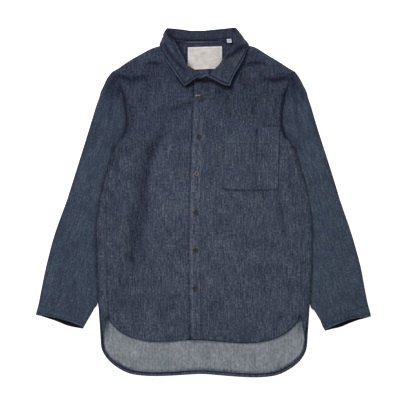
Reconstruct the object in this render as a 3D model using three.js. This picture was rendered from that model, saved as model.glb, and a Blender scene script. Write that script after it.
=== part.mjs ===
import * as THREE from "three";

// A long-sleeved denim shirt with a dropped shirt-tail hem, laid flat on its back on a table,
// buttoned up, with both sleeves turned down beside the body.
// Millimetres. +X is the wearer's left, +Y points to the collar, +Z up off the table, z = 0 on it.
// Every panel is a wall of cloth: a plan outline given by its seam lines, and a height at each point.
// "across" is the distance from the shirt's centre line, "up" the distance towards the collar.

// Driving dimensions
const CLOTH = 1.2; // one layer of denim
const COLLAR_WALL = 1.8; // collar and stand, interlined
const PLY_GAP = 0.3; // between layers that touch
const LOOSE_GAP = 0.7; // between layers that lie loosely on each other
const REST_LOFT = 1.0; // air under the fronts where they lie flattest
const BODY_LOFT = 2.2; // more air towards the middle of the body
const FOLD_HEIGHT = 4.0; // outer height of the back where it folds over at the sides and the hem
const SLEEVE_HEIGHT = 3.9; // outer height of a sleeve at its folded edges
const CUFF_HEIGHT = 6.2; // outer height of a cuff, which stands a little open
const CUFF_WALL = 1.6;
const TUCK_LIFT = 4.8; // the body rises this much where it lies over a sleeve
const LEAF_LIFT = 3.2; // the back rises this much where it lies over the turned-down collar
const YOKE_RISE = CLOTH + PLY_GAP;
const FRAME_SHIFT = -2; // moves the garment's middle onto the origin, towards the hem

// Seam lines of one half of the shirt, as distances from the centre line
const SHOULDER_TIP = { across: 226, up: 328 };
const ARMPIT = { across: 225, up: 144 };
const NECK_POINT = { across: 93, up: 394 };
const VENT = { across: 240.5, up: -287.5 };

const BODY_EDGE = [
  ARMPIT,
  { across: 236, up: 107 },
  { across: 251, up: 59 },
  { across: 264, up: 0 },
  { across: 271, up: -46 },
  { across: 271, up: -96 },
  { across: 268, up: -186 },
  { across: 265, up: -248 },
  { across: 260, up: -321 },
  { across: 256, up: -354 },
];
const TAIL_EDGE = [
  { across: 256, up: -354 },
  { across: 242, up: -382 },
  { across: 216, up: -408 },
  { across: 183, up: -423.5 },
  { across: 140, up: -429 },
  { across: 85, up: -428 },
  { across: 42, up: -424.5 },
  { across: 0, up: -421 },
];
const ARMHOLE = [
  ARMPIT,
  { across: 202.5, up: 167 },
  { across: 195, up: 191 },
  { across: 193.5, up: 209 },
  { across: 197.5, up: 241 },
  { across: 204, up: 284 },
  { across: 213, up: 308 },
  SHOULDER_TIP,
];
const SHOULDER = [SHOULDER_TIP, { across: 199, up: 348 }, { across: 175, up: 363 }, NECK_POINT];
const BACK_NECK = [
  NECK_POINT,
  { across: 76, up: 402 },
  { across: 45, up: 405.5 },
  { across: 0, up: 406 },
];
const FRONT_HEM = [
  VENT,
  { across: 224, up: -309 },
  { across: 197.5, up: -329 },
  { across: 150, up: -344 },
  { across: 100, up: -348 },
  { across: 50, up: -344.5 },
];
const FRONT_NECK = [
  NECK_POINT,
  { across: 84, up: 366 },
  { across: 66, up: 336 },
  { across: 40, up: 315 },
];
const SIDE_SEAM = [
  VENT,
  { across: 245, up: -116 },
  { across: 248, up: 30 },
  { across: 237.5, up: 82 },
  { across: 219, up: 143 },
];

// The free edge of the front that lies on top, down the shirt: along is a value of x
const CENTRE_TOP = { along: -24, up: 305 };
const CENTRE_BOTTOM = { along: -33, up: -340 };
const CENTRE_EDGE = [
  CENTRE_BOTTOM,
  { along: -35, up: -211 },
  { along: -36.5, up: -84 },
  { along: -32, up: 110 },
  { along: -26, up: 246 },
  CENTRE_TOP,
];
const PLACKET_WIDTH = 29;
const UNDERLAP = 38; // how far the other front reaches under it

// Sleeve outline: the folded outer edge, and the underarm edge, part of it under the body
const SLEEVE_OUTER = [
  SHOULDER_TIP,
  { across: 257, up: 275 },
  { across: 281, up: 199 },
  { across: 309, up: 109 },
  { across: 337.5, up: 19 },
  { across: 369, up: -71 },
  { across: 392.5, up: -161 },
  { across: 411, up: -253.5 },
];
const SLEEVE_INNER = [
  ARMPIT,
  { across: 229, up: 96 },
  { across: 231, up: 9 },
  { across: 237.5, up: -79 },
  { across: 250, up: -166 },
  { across: 266, up: -247 },
  { across: 289, up: -290 },
];
const CUFF_OUTER_END = { across: 416, up: -279 };
const CUFF_INNER_END = { across: 302, up: -312.5 };
// In the middle of a cuff's mouth the lower layer reaches out and the upper one falls back
const CUFF_MOUTH = { lowerReach: 3, upperRecess: 4 };

// The largest folds of the fronts and sleeves: a soft ridge (or trough, below zero) along a line
const FOLDS = [
  { name: "right_chest", x1: -128, y1: 160, x2: -170, y2: -30, half: 34, rise: -1.3 },
  { name: "right_chest_ridge", x1: -88, y1: 130, x2: -120, y2: -60, half: 38, rise: 1.2 },
  { name: "right_shoulder", x1: -222, y1: 322, x2: -145, y2: 316, half: 15, rise: -0.9 },
  { name: "right_collar", x1: -148, y1: 351, x2: -108, y2: 350, half: 13, rise: -0.9 },
  { name: "right_lower", x1: -44, y1: -222, x2: -120, y2: -262, half: 26, rise: -0.9 },
  { name: "left_shoulder", x1: 220, y1: 320, x2: 165, y2: 309, half: 15, rise: -0.9 },
  { name: "left_collar", x1: 100, y1: 350, x2: 152, y2: 348, half: 13, rise: -0.9 },
  { name: "left_hip", x1: 190, y1: -10, x2: 205, y2: -150, half: 34, rise: 1.1 },
];
const SLEEVE_FOLDS = [
  { name: "upper_arm", x1: 262, y1: 210, x2: 300, y2: 60, half: 22, rise: 1.6 },
  { name: "elbow", x1: 330, y1: -60, x2: 290, y2: -95, half: 24, rise: 1.3 },
  { name: "forearm", x1: 360, y1: -120, x2: 380, y2: -225, half: 26, rise: 1.4 },
];

// Where the shirt lies a few millimetres off the mirrored outline, all its layers together
const DRIFT = [
  { name: "right_sleeve", x: -310, y: 100, acrossReach: 60, upReach: 150, right: -0.3, up: 0 },
  { name: "tail", x: 150, y: -420, acrossReach: 105, upReach: 60, right: 0, up: -3.6 },
  { name: "whole_tail", x: 0, y: -440, acrossReach: 300, upReach: 85, right: 0, up: -3.2 },
  { name: "tail_centre", x: 15, y: -430, acrossReach: 40, upReach: 50, right: 0, up: -1.6 },
  { name: "right_corner", x: -248, y: -388, acrossReach: 30, upReach: 45, right: -3.2, up: -1.6 },
  { name: "left_corner", x: 248, y: -388, acrossReach: 30, upReach: 45, right: 3.2, up: -2 },
  { name: "shoulder", x: 165, y: 360, acrossReach: 45, upReach: 40, right: 0, up: -2.4 },
  { name: "right_neck", x: -122, y: 385, acrossReach: 36, upReach: 36, right: 0, up: 6 },
  { name: "left_neck", x: 128, y: 382, acrossReach: 32, upReach: 36, right: 0, up: 8.5 },
  { name: "upper_sleeve", x: 290, y: 210, acrossReach: 50, upReach: 110, right: -2.4, up: 0 },
  { name: "lower_sleeve", x: 375, y: -90, acrossReach: 70, upReach: 130, right: -4.2, up: 0 },
];

// Curves and blends

const smooth = (t) => {
  const s = Math.min(1, Math.max(0, t));
  return s * s * (3 - 2 * s);
};
const ramp = (value, from, to) => smooth((value - from) / (to - from));
const mix = (a, b, t) => a + (b - a) * t;

function curve(rows) {
  const points = rows.map((row) => new THREE.Vector3(row.across ?? row.along, row.up, 0));
  return new THREE.CatmullRomCurve3(points, false, "centripetal");
}

// A boundary made of curves that meet at corners: each covers t up to its own "until"
function seam(...parts) {
  const curves = parts.map((part) => curve(part.rows));
  return (t) => {
    let from = 0;
    for (let k = 0; k < parts.length; k++) {
      const { until } = parts[k];
      if (t <= until + 1e-9 || k === parts.length - 1) {
        return curves[k].getPointAt(Math.min(1, Math.max(0, (t - from) / (until - from))));
      }
      from = until;
    }
  };
}

// Reads how far across a line is at a given height
function acrossAt(rows) {
  const points = curve(rows).getSpacedPoints(160).sort((a, b) => a.y - b.y);
  return (up) => {
    if (up <= points[0].y) return points[0].x;
    for (let k = 1; k < points.length; k++) {
      if (up <= points[k].y) {
        const t = (up - points[k - 1].y) / Math.max(1e-6, points[k].y - points[k - 1].y);
        return mix(points[k - 1].x, points[k].x, t);
      }
    }
    return points[points.length - 1].x;
  };
}

// The point at (u, v) of a panel with four seam lines as its sides
function panelPoint(bottom, top, left, right, u, v) {
  const point = new THREE.Vector3();
  point.addScaledVector(bottom(u), 1 - v).addScaledVector(top(u), v);
  point.addScaledVector(left(v), 1 - u).addScaledVector(right(v), u);
  point.addScaledVector(bottom(0), -(1 - u) * (1 - v)).addScaledVector(bottom(1), -u * (1 - v));
  point.addScaledVector(top(0), -(1 - u) * v).addScaledVector(top(1), -u * v);
  return point;
}

function foldRise(folds, x, y) {
  let rise = 0;
  for (const fold of folds) {
    const alongX = fold.x2 - fold.x1;
    const alongY = fold.y2 - fold.y1;
    const length = Math.hypot(alongX, alongY);
    const t = ((x - fold.x1) * alongX + (y - fold.y1) * alongY) / (length * length);
    const aside = Math.abs((x - fold.x1) * alongY - (y - fold.y1) * alongX) / length;
    const past = Math.max(0, -t, t - 1) * length;
    const reach = Math.hypot(aside, past) / fold.half;
    rise += fold.rise * Math.exp(-reach * reach);
  }
  return rise;
}

function drifted(point) {
  const moved = point.clone();
  for (const { x, y, acrossReach, upReach, right, up } of DRIFT) {
    const share = Math.exp(-(((point.x - x) / acrossReach) ** 2) - ((point.y - y) / upReach) ** 2);
    moved.x += right * share;
    moved.y += up * share;
  }
  return moved;
}

// Heights of the layers above the table

const bodyEdgeAt = acrossAt(BODY_EDGE);
const sleeveInnerAt = acrossAt(SLEEVE_INNER);
const armholeAt = acrossAt(ARMHOLE);
const sideSeamAt = acrossAt(SIDE_SEAM);
const centreEdgeAt = acrossAt(CENTRE_EDGE);

const TUCK_RAMP = 62;
const TUCK_MARGIN = 10;
const TUCK_TOP = 250; // the lift over the sleeve fades out up the armhole

function backUnder(x, y) {
  const across = Math.abs(x);
  const sleeveEdge = y > ARMPIT.up ? armholeAt(y) : sleeveInnerAt(y);
  const reach = ramp(across, sleeveEdge - TUCK_MARGIN - TUCK_RAMP, sleeveEdge - TUCK_MARGIN);
  const tuck = TUCK_LIFT * reach * (1 - ramp(y, ARMPIT.up + 20, TUCK_TOP));
  const leaf = LEAF_LIFT * ramp(y, 326, 388) * (1 - ramp(across, 96, 150));
  return tuck * ramp(y, -345, -262) + leaf;
}

const YOKE_BOTTOM = 300;
const backTop = (x, y) => backUnder(x, y) + CLOTH;
const yokeTop = (x, y) => backTop(x, y) + PLY_GAP + CLOTH;

function frontUnder(x, y) {
  const across = Math.abs(x);
  const yoke = YOKE_RISE * ramp(y, YOKE_BOTTOM - 70, YOKE_BOTTOM - 6);
  const middle = (1 - ramp(across, 70, 236)) * ramp(y, -345, -200) * (1 - ramp(y, 150, 330));
  const calm = ramp(264 - across, 0, 60) * ramp(y, -345, -250);
  const loft = REST_LOFT + BODY_LOFT * middle + foldRise(FOLDS, x, y) * calm;
  return backTop(x, y) + 2 * PLY_GAP + yoke + Math.max(REST_LOFT * 0.75, loft);
}

// The front on top climbs over the other one's edge
function overUnder(x, y) {
  const innerEdge = centreEdgeAt(y) + UNDERLAP;
  const climb = 1 - ramp(x, innerEdge + 8, innerEdge + 64);
  return frontUnder(x, y) + (CLOTH + LOOSE_GAP) * climb;
}

// Walls of cloth

// Points in pairs, one on each face of the wall, and the quads between them
class Wall {
  constructor() {
    this.outer = [];
    this.inner = [];
    this.quads = [];
  }

  pair(outer, inner) {
    this.outer.push(outer);
    this.inner.push(inner);
    return this.outer.length - 1;
  }

  // Joins a grid of pair numbers; closed runs each row round on itself
  grid(rows, closed = false) {
    for (let i = 0; i + 1 < rows.length; i++) {
      const count = rows[i].length;
      for (let j = 0; j < (closed ? count : count - 1); j++) {
        const next = (j + 1) % count;
        this.quads.push([rows[i][j], rows[i][next], rows[i + 1][next], rows[i + 1][j]]);
      }
    }
    return this;
  }

  geometry() {
    const shift = this.outer.length;
    const faces = [];
    const edges = new Map();
    for (const quad of this.quads) {
      const [a, b, c, d] = quad;
      faces.push([a, b, c], [a, c, d]);
      faces.push([a + shift, c + shift, b + shift], [a + shift, d + shift, c + shift]);
      for (let k = 0; k < 4; k++) {
        const from = quad[k];
        const to = quad[(k + 1) % 4];
        const back = `${to}_${from}`;
        if (edges.has(back)) edges.delete(back);
        else edges.set(`${from}_${to}`, [from, to]);
      }
    }
    for (const [from, to] of edges.values()) {
      faces.push([to, from, from + shift], [to, from + shift, to + shift]);
    }
    return closedGeometry([...this.outer, ...this.inner], faces);
  }
}

// A geometry with its faces pointing out, whichever way round they were listed
function closedGeometry(plannedPoints, faces) {
  const points = plannedPoints.map(drifted);
  let volume = 0;
  for (const [a, b, c] of faces) {
    volume += points[a].dot(new THREE.Vector3().crossVectors(points[b], points[c]));
  }
  const order = volume < 0 ? faces.map(([a, b, c]) => [a, c, b]) : faces;
  const geometry = new THREE.BufferGeometry();
  const flat = points.flatMap((point) => [point.x, point.y, point.z]);
  geometry.setAttribute("position", new THREE.Float32BufferAttribute(flat, 3));
  geometry.setIndex(order.flat());
  geometry.computeVertexNormals();
  return geometry;
}

// A sheet that lies flat: a grid of plan points, with the height of its underside
function layer(rows, under, thickness) {
  const wall = new Wall();
  const numbered = rows.map((row) =>
    row.map((point) => {
      const z = under(point.x, point.y);
      return wall.pair(
        new THREE.Vector3(point.x, point.y, z + thickness),
        new THREE.Vector3(point.x, point.y, z),
      );
    }),
  );
  return wall.grid(numbered).geometry();
}

// A sheet that stands or rolls: a grid of middle points, thickened both ways along its normals
function thickened(rows, thickness) {
  const wall = new Wall();
  const last = rows.length - 1;
  const numbered = rows.map((row, i) =>
    row.map((point, j) => {
      const end = row.length - 1;
      const ahead = rows[Math.min(last, i + 1)][j].clone().sub(rows[Math.max(0, i - 1)][j]);
      const aside = row[Math.min(end, j + 1)].clone().sub(row[Math.max(0, j - 1)]);
      const normal = ahead.cross(aside).normalize().multiplyScalar(thickness / 2);
      return wall.pair(point.clone().add(normal), point.clone().sub(normal));
    }),
  );
  return wall.grid(numbered).geometry();
}

const steps = (count) => Array.from({ length: count + 1 }, (_, k) => k / count);
const mirrored = (point) => new THREE.Vector3(-point.x, point.y, point.z);

// Materials
const denim = new THREE.MeshStandardMaterial({ color: 0x3f4659, roughness: 0.92, metalness: 0 });
const denimInside = new THREE.MeshStandardMaterial({ color: 0x7b8288, roughness: 0.94, metalness: 0 });
const buttonMetal = new THREE.MeshStandardMaterial({ color: 0x26221f, roughness: 0.35, metalness: 0.8 });
const labelCloth = new THREE.MeshStandardMaterial({ color: 0xc7c2bd, roughness: 0.9, metalness: 0 });

const garment = new THREE.Group();
garment.position.y = FRAME_SHIFT;

function piece(name, geometry, material) {
  const mesh = new THREE.Mesh(geometry, material);
  mesh.name = name;
  garment.add(mesh);
  return mesh;
}

// The same number of steps along every armhole seam, so that back, front and sleeve share its points
const ARMHOLE_STEPS = 9;

// Back: one panel on the table, folded over to the front along the sides and up along the hem

const BACK_SIDE_ROWS = 15;
const BACK_TAIL_STEPS = 9; // for one half of the tail, and of the top
const BACK_NECK_STEPS = 4;
const FOLD_INSET = 6; // where the flat part of the panel ends and its fold begins
const WRAP_END = -308; // the folded part goes on below the vent, then narrows to a turned edge
const HEM_WIDTH = 10;
const NARROW_EDGE = 3.6;
const SIDE_GAP = 0.9;

// How wide the folded part is at a point of the body's edge
function wrapWidth(point) {
  if (point.y > WRAP_END + 12) {
    return Math.max(NARROW_EDGE, point.x - sideSeamAt(point.y) - SIDE_GAP);
  }
  return mix(NARROW_EDGE, 23, ramp(point.y, WRAP_END - 24, WRAP_END));
}

// The folded edge from one armpit down, round the tail and up to the other
function backEdge() {
  const side = curve(BODY_EDGE).getSpacedPoints(BACK_SIDE_ROWS);
  const tail = curve(TAIL_EDGE).getSpacedPoints(BACK_TAIL_STEPS).slice(1);
  const half = [...side, ...tail];
  const other = half.slice(0, -1).reverse().map(mirrored);
  const full = [...half, ...other];
  return full.map((point, k) => {
    const ahead = full[Math.min(full.length - 1, k + 1)];
    const behind = full[Math.max(0, k - 1)];
    const along = ahead.clone().sub(behind).normalize();
    const inward = new THREE.Vector3(along.y, -along.x, 0);
    const fromArmpit = Math.min(k, full.length - 1 - k);
    const width = fromArmpit < BACK_SIDE_ROWS
      ? wrapWidth(new THREE.Vector3(Math.abs(point.x), point.y, 0))
      : mix(NARROW_EDGE, HEM_WIDTH, ramp(fromArmpit, BACK_SIDE_ROWS, BACK_SIDE_ROWS + 3));
    return { point, inward, width };
  });
}

function backPanel() {
  const edge = backEdge();
  const sideCount = BACK_SIDE_ROWS;
  const tailCount = 2 * BACK_TAIL_STEPS;
  const inset = edge.map(({ point, inward }) => point.clone().addScaledVector(inward, FOLD_INSET));

  // Four sides of the flat part, all made from the inset line and the upper seams
  const armhole = curve(ARMHOLE).getSpacedPoints(ARMHOLE_STEPS).slice(1);
  const rightSide = [...inset.slice(0, sideCount + 1).reverse(), ...armhole];
  const leftInset = inset.slice(-sideCount - 1);
  const leftSide = [...leftInset, ...armhole.map(mirrored)];
  const bottomLine = inset.slice(sideCount, sideCount + tailCount + 1).reverse();
  const topSeam = seam(
    { rows: SHOULDER, until: 1 - BACK_NECK_STEPS / BACK_TAIL_STEPS },
    { rows: BACK_NECK, until: 1 },
  );
  const topHalf = steps(BACK_TAIL_STEPS).map(topSeam);
  const topLine = [...topHalf.map(mirrored), ...topHalf.slice(0, -1).reverse()];

  const rowCount = leftSide.length - 1;
  const readAlong = (points) => (t) => {
    const place = t * (points.length - 1);
    const k = Math.min(points.length - 2, Math.floor(place));
    return points[k].clone().lerp(points[k + 1], place - k);
  };
  const bottom = readAlong(bottomLine);
  const top = readAlong(topLine);
  const left = readAlong(leftSide);
  const right = readAlong(rightSide);
  const rows = steps(rowCount).map((v) =>
    steps(tailCount).map((u) => panelPoint(bottom, top, left, right, u, v)),
  );

  const wall = new Wall();
  const flatPair = (point) => {
    const z = backUnder(point.x, point.y);
    return wall.pair(
      new THREE.Vector3(point.x, point.y, z),
      new THREE.Vector3(point.x, point.y, z + CLOTH),
    );
  };
  const numbered = rows.map((row) => row.map(flatPair));
  wall.grid(numbered);

  // The pair numbers along the inset line, in the order of the edge
  const alongInset = [
    ...numbered.slice(0, sideCount + 1).map((row) => row[tailCount]).reverse(),
    ...numbered[0].slice(1, -1).reverse(),
    ...numbered.slice(0, sideCount + 1).map((row) => row[0]),
  ];
  const radius = FOLD_HEIGHT / 2;
  const foldRows = edge.map(({ point, inward, width }, k) => {
    const base = backUnder(point.x, point.y);
    const at = (distance, height) =>
      point.clone().addScaledVector(inward, distance).setZ(base + height);
    const arc = [-60, -20, 20, 60].map((degrees) => {
      const angle = THREE.MathUtils.degToRad(degrees);
      const place = (r) => at(radius - r * Math.cos(angle), radius + r * Math.sin(angle));
      return wall.pair(place(radius), place(radius - CLOTH));
    });
    const flatStart = wall.pair(at(radius + 0.4, FOLD_HEIGHT), at(radius + 0.4, FOLD_HEIGHT - CLOTH));
    const flatEnd = wall.pair(at(width, FOLD_HEIGHT), at(width, FOLD_HEIGHT - CLOTH));
    return [alongInset[k], ...arc, flatStart, flatEnd];
  });
  wall.grid(foldRows.reverse());
  return { geometry: wall.geometry(), rows };
}

const back = backPanel();
piece("back", back.geometry, denimInside);

// Yoke facing: a second layer inside the shoulders, cut from the back's own upper rows

const yokeRows = back.rows.slice(-4).map((row) => row.slice(1, -1));
piece("yoke_facing", layer(yokeRows, (x, y) => backTop(x, y) + PLY_GAP, CLOTH), denim);

// Fronts

const FRONT_COLUMNS = 12;
const FRONT_ROWS = 24;
const SIDE_SHARE = 1 - ARMHOLE_STEPS / FRONT_ROWS; // side seam first, then the armhole
const SHOULDER_SHARE = 0.5; // of the top line that is shoulder, the rest is neckline

// sign +1 is the wearer's left; centreLine gives the panel's centre edge as values of x
function frontRows(sign, centreLine, hemEnd, neckEnd, hemRise = 0) {
  const side = seam({ rows: SIDE_SEAM, until: SIDE_SHARE }, { rows: ARMHOLE, until: 1 });
  const top = seam(
    { rows: SHOULDER, until: SHOULDER_SHARE },
    { rows: [...FRONT_NECK, neckEnd], until: 1 },
  );
  const hemRows = [...FRONT_HEM, hemEnd].map(({ across, up }, k) => ({
    across,
    up: up + hemRise * smooth(k / FRONT_HEM.length),
  }));
  const hem = seam({ rows: hemRows, until: 1 });
  const centre = seam({ rows: centreLine, until: 1 });
  return steps(FRONT_ROWS).map((v) =>
    steps(FRONT_COLUMNS).map((u) => {
      const point = panelPoint(hem, top, side, centre, u, v);
      return new THREE.Vector3(sign * point.x, point.y, 0);
    }),
  );
}

// Under front, the wearer's right: its centre edge is hidden below the placket
const UNDER_HEM_RISE = 2.2; // its hem ends a little above the other one's
const underCentre = CENTRE_EDGE.map(({ along, up }, k) => ({
  across: -(along + UNDERLAP),
  up: k ? up : up + UNDER_HEM_RISE,
}));
const underHemEnd = { across: underCentre[0].across, up: CENTRE_BOTTOM.up };
const underRows = frontRows(
  -1,
  underCentre,
  underHemEnd,
  underCentre[underCentre.length - 1],
  UNDER_HEM_RISE,
);
piece("front_right", layer(underRows, frontUnder, CLOTH), denim);

// Over front, the wearer's left: two more columns carry the placket's own lines
const overCentre = CENTRE_EDGE.map(({ along, up }) => ({ across: along + PLACKET_WIDTH, up }));
const overPatch = frontRows(1, overCentre, overCentre[0], overCentre[overCentre.length - 1]);
const overRows = overPatch.map((row) => {
  const inner = row[row.length - 1];
  const shift = (distance) => new THREE.Vector3(inner.x - distance, inner.y, 0);
  return [...row, shift(PLACKET_WIDTH / 2), shift(PLACKET_WIDTH)];
});
piece("front_left", layer(overRows, overUnder, CLOTH), denim);

// Placket: a folded strip along the over front's free edge, on the panel's own points
const placketRows = overRows.map((row) => row.slice(-3));
const PLACKET_WALL = 1.6;
const placketUnder = (x, y) => overUnder(x, y) + CLOTH + PLY_GAP;
piece("placket", layer(placketRows, placketUnder, PLACKET_WALL), denim);

// Chest pocket, a plain patch with a stitched pen slot

const POCKET = {
  corners: {
    topLeft: { x: 52, y: 190 },
    topRight: { x: 189, y: 190 },
    bottomLeft: { x: 47.5, y: 35 },
    bottomRight: { x: 184, y: 35 },
  },
  bottomDip: 4,
  columns: 9,
  rows: 9,
};

function pocketRows() {
  const { topLeft, topRight, bottomLeft, bottomRight } = POCKET.corners;
  return steps(POCKET.rows).map((v) =>
    steps(POCKET.columns).map((u) => {
      const left = mix(bottomLeft.x, topLeft.x, v);
      const right = mix(bottomRight.x, topRight.x, v);
      const dip = POCKET.bottomDip * (1 - v) * (1 - Math.abs(2 * u - 1));
      return new THREE.Vector3(mix(left, right, u), mix(bottomLeft.y, topLeft.y, v) - dip, 0);
    }),
  );
}

piece(
  "pocket",
  layer(pocketRows(), (x, y) => overUnder(x, y) + CLOTH + LOOSE_GAP, CLOTH),
  denim,
);

// Sleeves and cuffs: flattened tubes

const SLEEVE_STATIONS = 16;
const CORNER_ANGLES = [0, 35, 70]; // round each folded edge, from its outermost point

// One ring of a flattened tube: places across it, as a distance from each edge or a share, and height
function ringPlaces(height, inset) {
  const radius = height / 2;
  const wall = radius - inset;
  const corner = CORNER_ANGLES.map((degrees) => {
    const angle = THREE.MathUtils.degToRad(degrees);
    return { distance: radius - wall * Math.cos(angle), level: wall * Math.sin(angle) };
  });
  const middle = steps(ARMHOLE_STEPS).slice(1, -1);
  const upper = [
    ...corner.map(({ distance, level }) => ({ from: "outer", distance, z: radius + level })),
    ...middle.map((share) => ({ share, z: radius + wall, top: true })),
    ...[...corner].reverse().map(({ distance, level }) => ({ from: "inner", distance, z: radius + level })),
  ];
  const lower = [
    ...corner.slice(1).map(({ distance, level }) => ({ from: "inner", distance, z: radius - level })),
    ...[...middle].reverse().map((share) => ({ share, z: radius - wall })),
    ...corner.slice(1).reverse().map(({ distance, level }) => ({ from: "outer", distance, z: radius - level })),
  ];
  return [...upper, ...lower];
}

// Rings along a tube: planAt(share, v) is a plan point, extra(place, point) adds height on top
function tube(vs, planAt, heightAt, wallThickness, extra, reach = () => 0) {
  const wall = new Wall();
  const rows = vs.map((v) => {
    const height = heightAt(v);
    const width = planAt(0, v).distanceTo(planAt(1, v));
    const ends = planAt(0, v).clone().sub(planAt(0, v - 0.01)).normalize();
    const outer = ringPlaces(height, 0);
    const inner = ringPlaces(height, wallThickness);
    const locate = (place) => {
      const share = place.share
        ?? (place.from === "outer" ? place.distance / width : 1 - place.distance / width);
      const point = planAt(share, v);
      const raised = place.z + (place.top ? extra(share, point) : 0);
      point.addScaledVector(ends, reach(share, v, place.z > height / 2));
      return new THREE.Vector3(point.x, point.y, raised);
    };
    return outer.map((place, k) => wall.pair(locate(place), locate(inner[k])));
  });
  return wall.grid(rows, true).geometry();
}

const sleeveOuter = seam({ rows: SLEEVE_OUTER, until: 1 });
const sleeveInner = seam({ rows: SLEEVE_INNER, until: 1 });
const armholeLine = seam({ rows: [...ARMHOLE].reverse(), until: 1 });
const cuffLine = seam({ rows: [SLEEVE_OUTER.at(-1), SLEEVE_INNER.at(-1)], until: 1 });
const ARMHOLE_GAP = 0.6;
const CUFF_GAP = 0.3;

// share 0 is the outer edge and 1 the underarm; v runs from the armhole to the cuff
function sleevePlan(share, v) {
  const along = Math.max(0, v);
  const point = panelPoint(armholeLine, cuffLine, sleeveOuter, sleeveInner, share, along);
  return new THREE.Vector3(point.x + ARMHOLE_GAP * (1 - along), point.y, 0);
}

function sleeveLoft(share, point) {
  const body = point.y > ARMPIT.up ? armholeAt(point.y) : bodyEdgeAt(point.y);
  const clear = ramp(share, 0.02, 0.3) * (1 - ramp(share, 0.75, 1)) * ramp(point.x - body, 8, 50);
  return clear * Math.max(0, 1.4 + foldRise(SLEEVE_FOLDS, point.x, point.y));
}

function cuffPlan(share, v) {
  const start = cuffLine(share);
  const end = new THREE.Vector3(
    mix(CUFF_OUTER_END.across, CUFF_INNER_END.across, share),
    mix(CUFF_OUTER_END.up, CUFF_INNER_END.up, share),
    0,
  );
  const length = start.distanceTo(end);
  return start.lerp(end, v * (1 - CUFF_GAP / length) + CUFF_GAP / length);
}

const cuffLoft = (share) => 0.8 * Math.sin(Math.PI * share);
const cuffReach = (share, v, upper) =>
  Math.sin(Math.PI * share) * v * (upper ? -CUFF_MOUTH.upperRecess : CUFF_MOUTH.lowerReach);
const onSide = (sign, plan) => (share, v) => {
  const point = plan(share, v);
  return new THREE.Vector3(sign * point.x, point.y, 0);
};

for (const { side, sign } of [{ side: "right", sign: -1 }, { side: "left", sign: 1 }]) {
  const unsigned = (loft) => (share, point) =>
    loft(share, new THREE.Vector3(sign * point.x, point.y, 0));
  const sleeve = tube(
    steps(SLEEVE_STATIONS),
    onSide(sign, sleevePlan),
    () => SLEEVE_HEIGHT,
    CLOTH,
    unsigned(sleeveLoft),
  );
  piece(`sleeve_${side}`, sleeve, denim);
  const cuff = tube(
    steps(2),
    onSide(sign, cuffPlan),
    () => CUFF_HEIGHT,
    CUFF_WALL,
    unsigned(cuffLoft),
    cuffReach,
  );
  piece(`cuff_${side}`, cuff, denim);
}

// Collar: each row is a station round the neck, from the wearer's right front to the left front.
// The seam is where the stand leaves the neckline, the roll is the crest, the edge the leaf's rim;
// "mid" is a point of the leaf between roll and edge. Without a z, a point rests on the cloth below.

const COLLAR = [
  { seam: [-2, 306], roll: [-8.5, 321, 14], edge: [-48, 293.5] },
  { seam: [-22, 311], roll: [-21, 332.5, 16], edge: [-58.5, 306] },
  { seam: [-45, 322], roll: [-40, 346, 19], edge: [-75, 331] },
  { seam: [-68, 350], roll: [-58.5, 374, 21], edge: [-93.5, 361] },
  { seam: [-80, 374], roll: [-70.5, 398, 21], edge: [-105, 382.5] },
  { seam: [-85, 384], roll: [-76, 408, 19], edge: [-107, 391.5] },
  { seam: [-87, 392], roll: [-81, 419, 16], mid: [-102, 411, 10], edge: [-108, 398, 5] },
  { seam: [-80, 400, 8.4], roll: [-86.5, 435.5, 12], mid: [-96.5, 425, 4.5], edge: [-95, 403, 1] },
  { seam: [-60, 405.5, 7.4], roll: [-65, 434, 10.5], mid: [-64, 433, 3.6], edge: [-62, 399, 1] },
  { seam: [-35, 407.5, 7.4], roll: [-35, 431.5, 10], mid: [-35, 430.5, 3.4], edge: [-35, 395, 1] },
  { seam: [0, 408, 7.4], roll: [0, 430, 10], mid: [0, 429, 3.4], edge: [0, 394, 1] },
  { seam: [35, 407.5, 7.4], roll: [35, 431.5, 10], mid: [35, 430.5, 3.4], edge: [35, 395, 1] },
  { seam: [57, 405.5, 7.4], roll: [60, 434, 10.5], mid: [60, 433, 3.6], edge: [58, 399, 1] },
  { seam: [76, 400, 8.4], roll: [79, 436, 12], mid: [91, 426, 4.5], edge: [92, 403, 1] },
  { seam: [86, 392], roll: [79, 418, 16], mid: [102, 411, 10], edge: [108, 398, 5] },
  { seam: [84, 384], roll: [78, 407, 19], edge: [108, 390.5] },
  { seam: [82, 372], roll: [76, 396, 21], edge: [106.5, 379] },
  { seam: [72, 350], roll: [64, 377.5, 21], edge: [95, 356] },
  { seam: [52, 332], roll: [45, 359, 19], edge: [84, 335] },
  { seam: [27, 311], roll: [26.5, 335, 16], edge: [73, 312.5] },
  { seam: [4, 306], roll: [13, 319, 14], edge: [63.5, 292.5] },
];
const STAND_STEPS = 3;
const LEAF_STEPS = 6;
const ROLL_GAP = 2.6; // from the leaf's middle surface to the stand's upper edge
const LEAF_CREST = 1.6; // how much the leaf bulges up between roll and edge
const clothTopAt = (x, y) => (x < 0 ? frontUnder(x, y) : overUnder(x, y)) + CLOTH;

function collarPoint([x, y, z]) {
  return new THREE.Vector3(x, y, z ?? clothTopAt(x, y) + PLY_GAP + COLLAR_WALL / 2 + 0.4);
}

const leafLines = COLLAR.map((station) => {
  const roll = collarPoint(station.roll);
  const edge = collarPoint(station.edge);
  const middle = station.mid
    ? collarPoint(station.mid)
    : roll.clone().lerp(edge, 0.45).add(new THREE.Vector3(0, 0, LEAF_CREST));
  return new THREE.CatmullRomCurve3([roll, middle, edge], false, "centripetal");
});
const leafRows = leafLines.map((line) => line.getSpacedPoints(LEAF_STEPS));
piece("collar_leaf", thickened(leafRows, COLLAR_WALL), denim);

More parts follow.
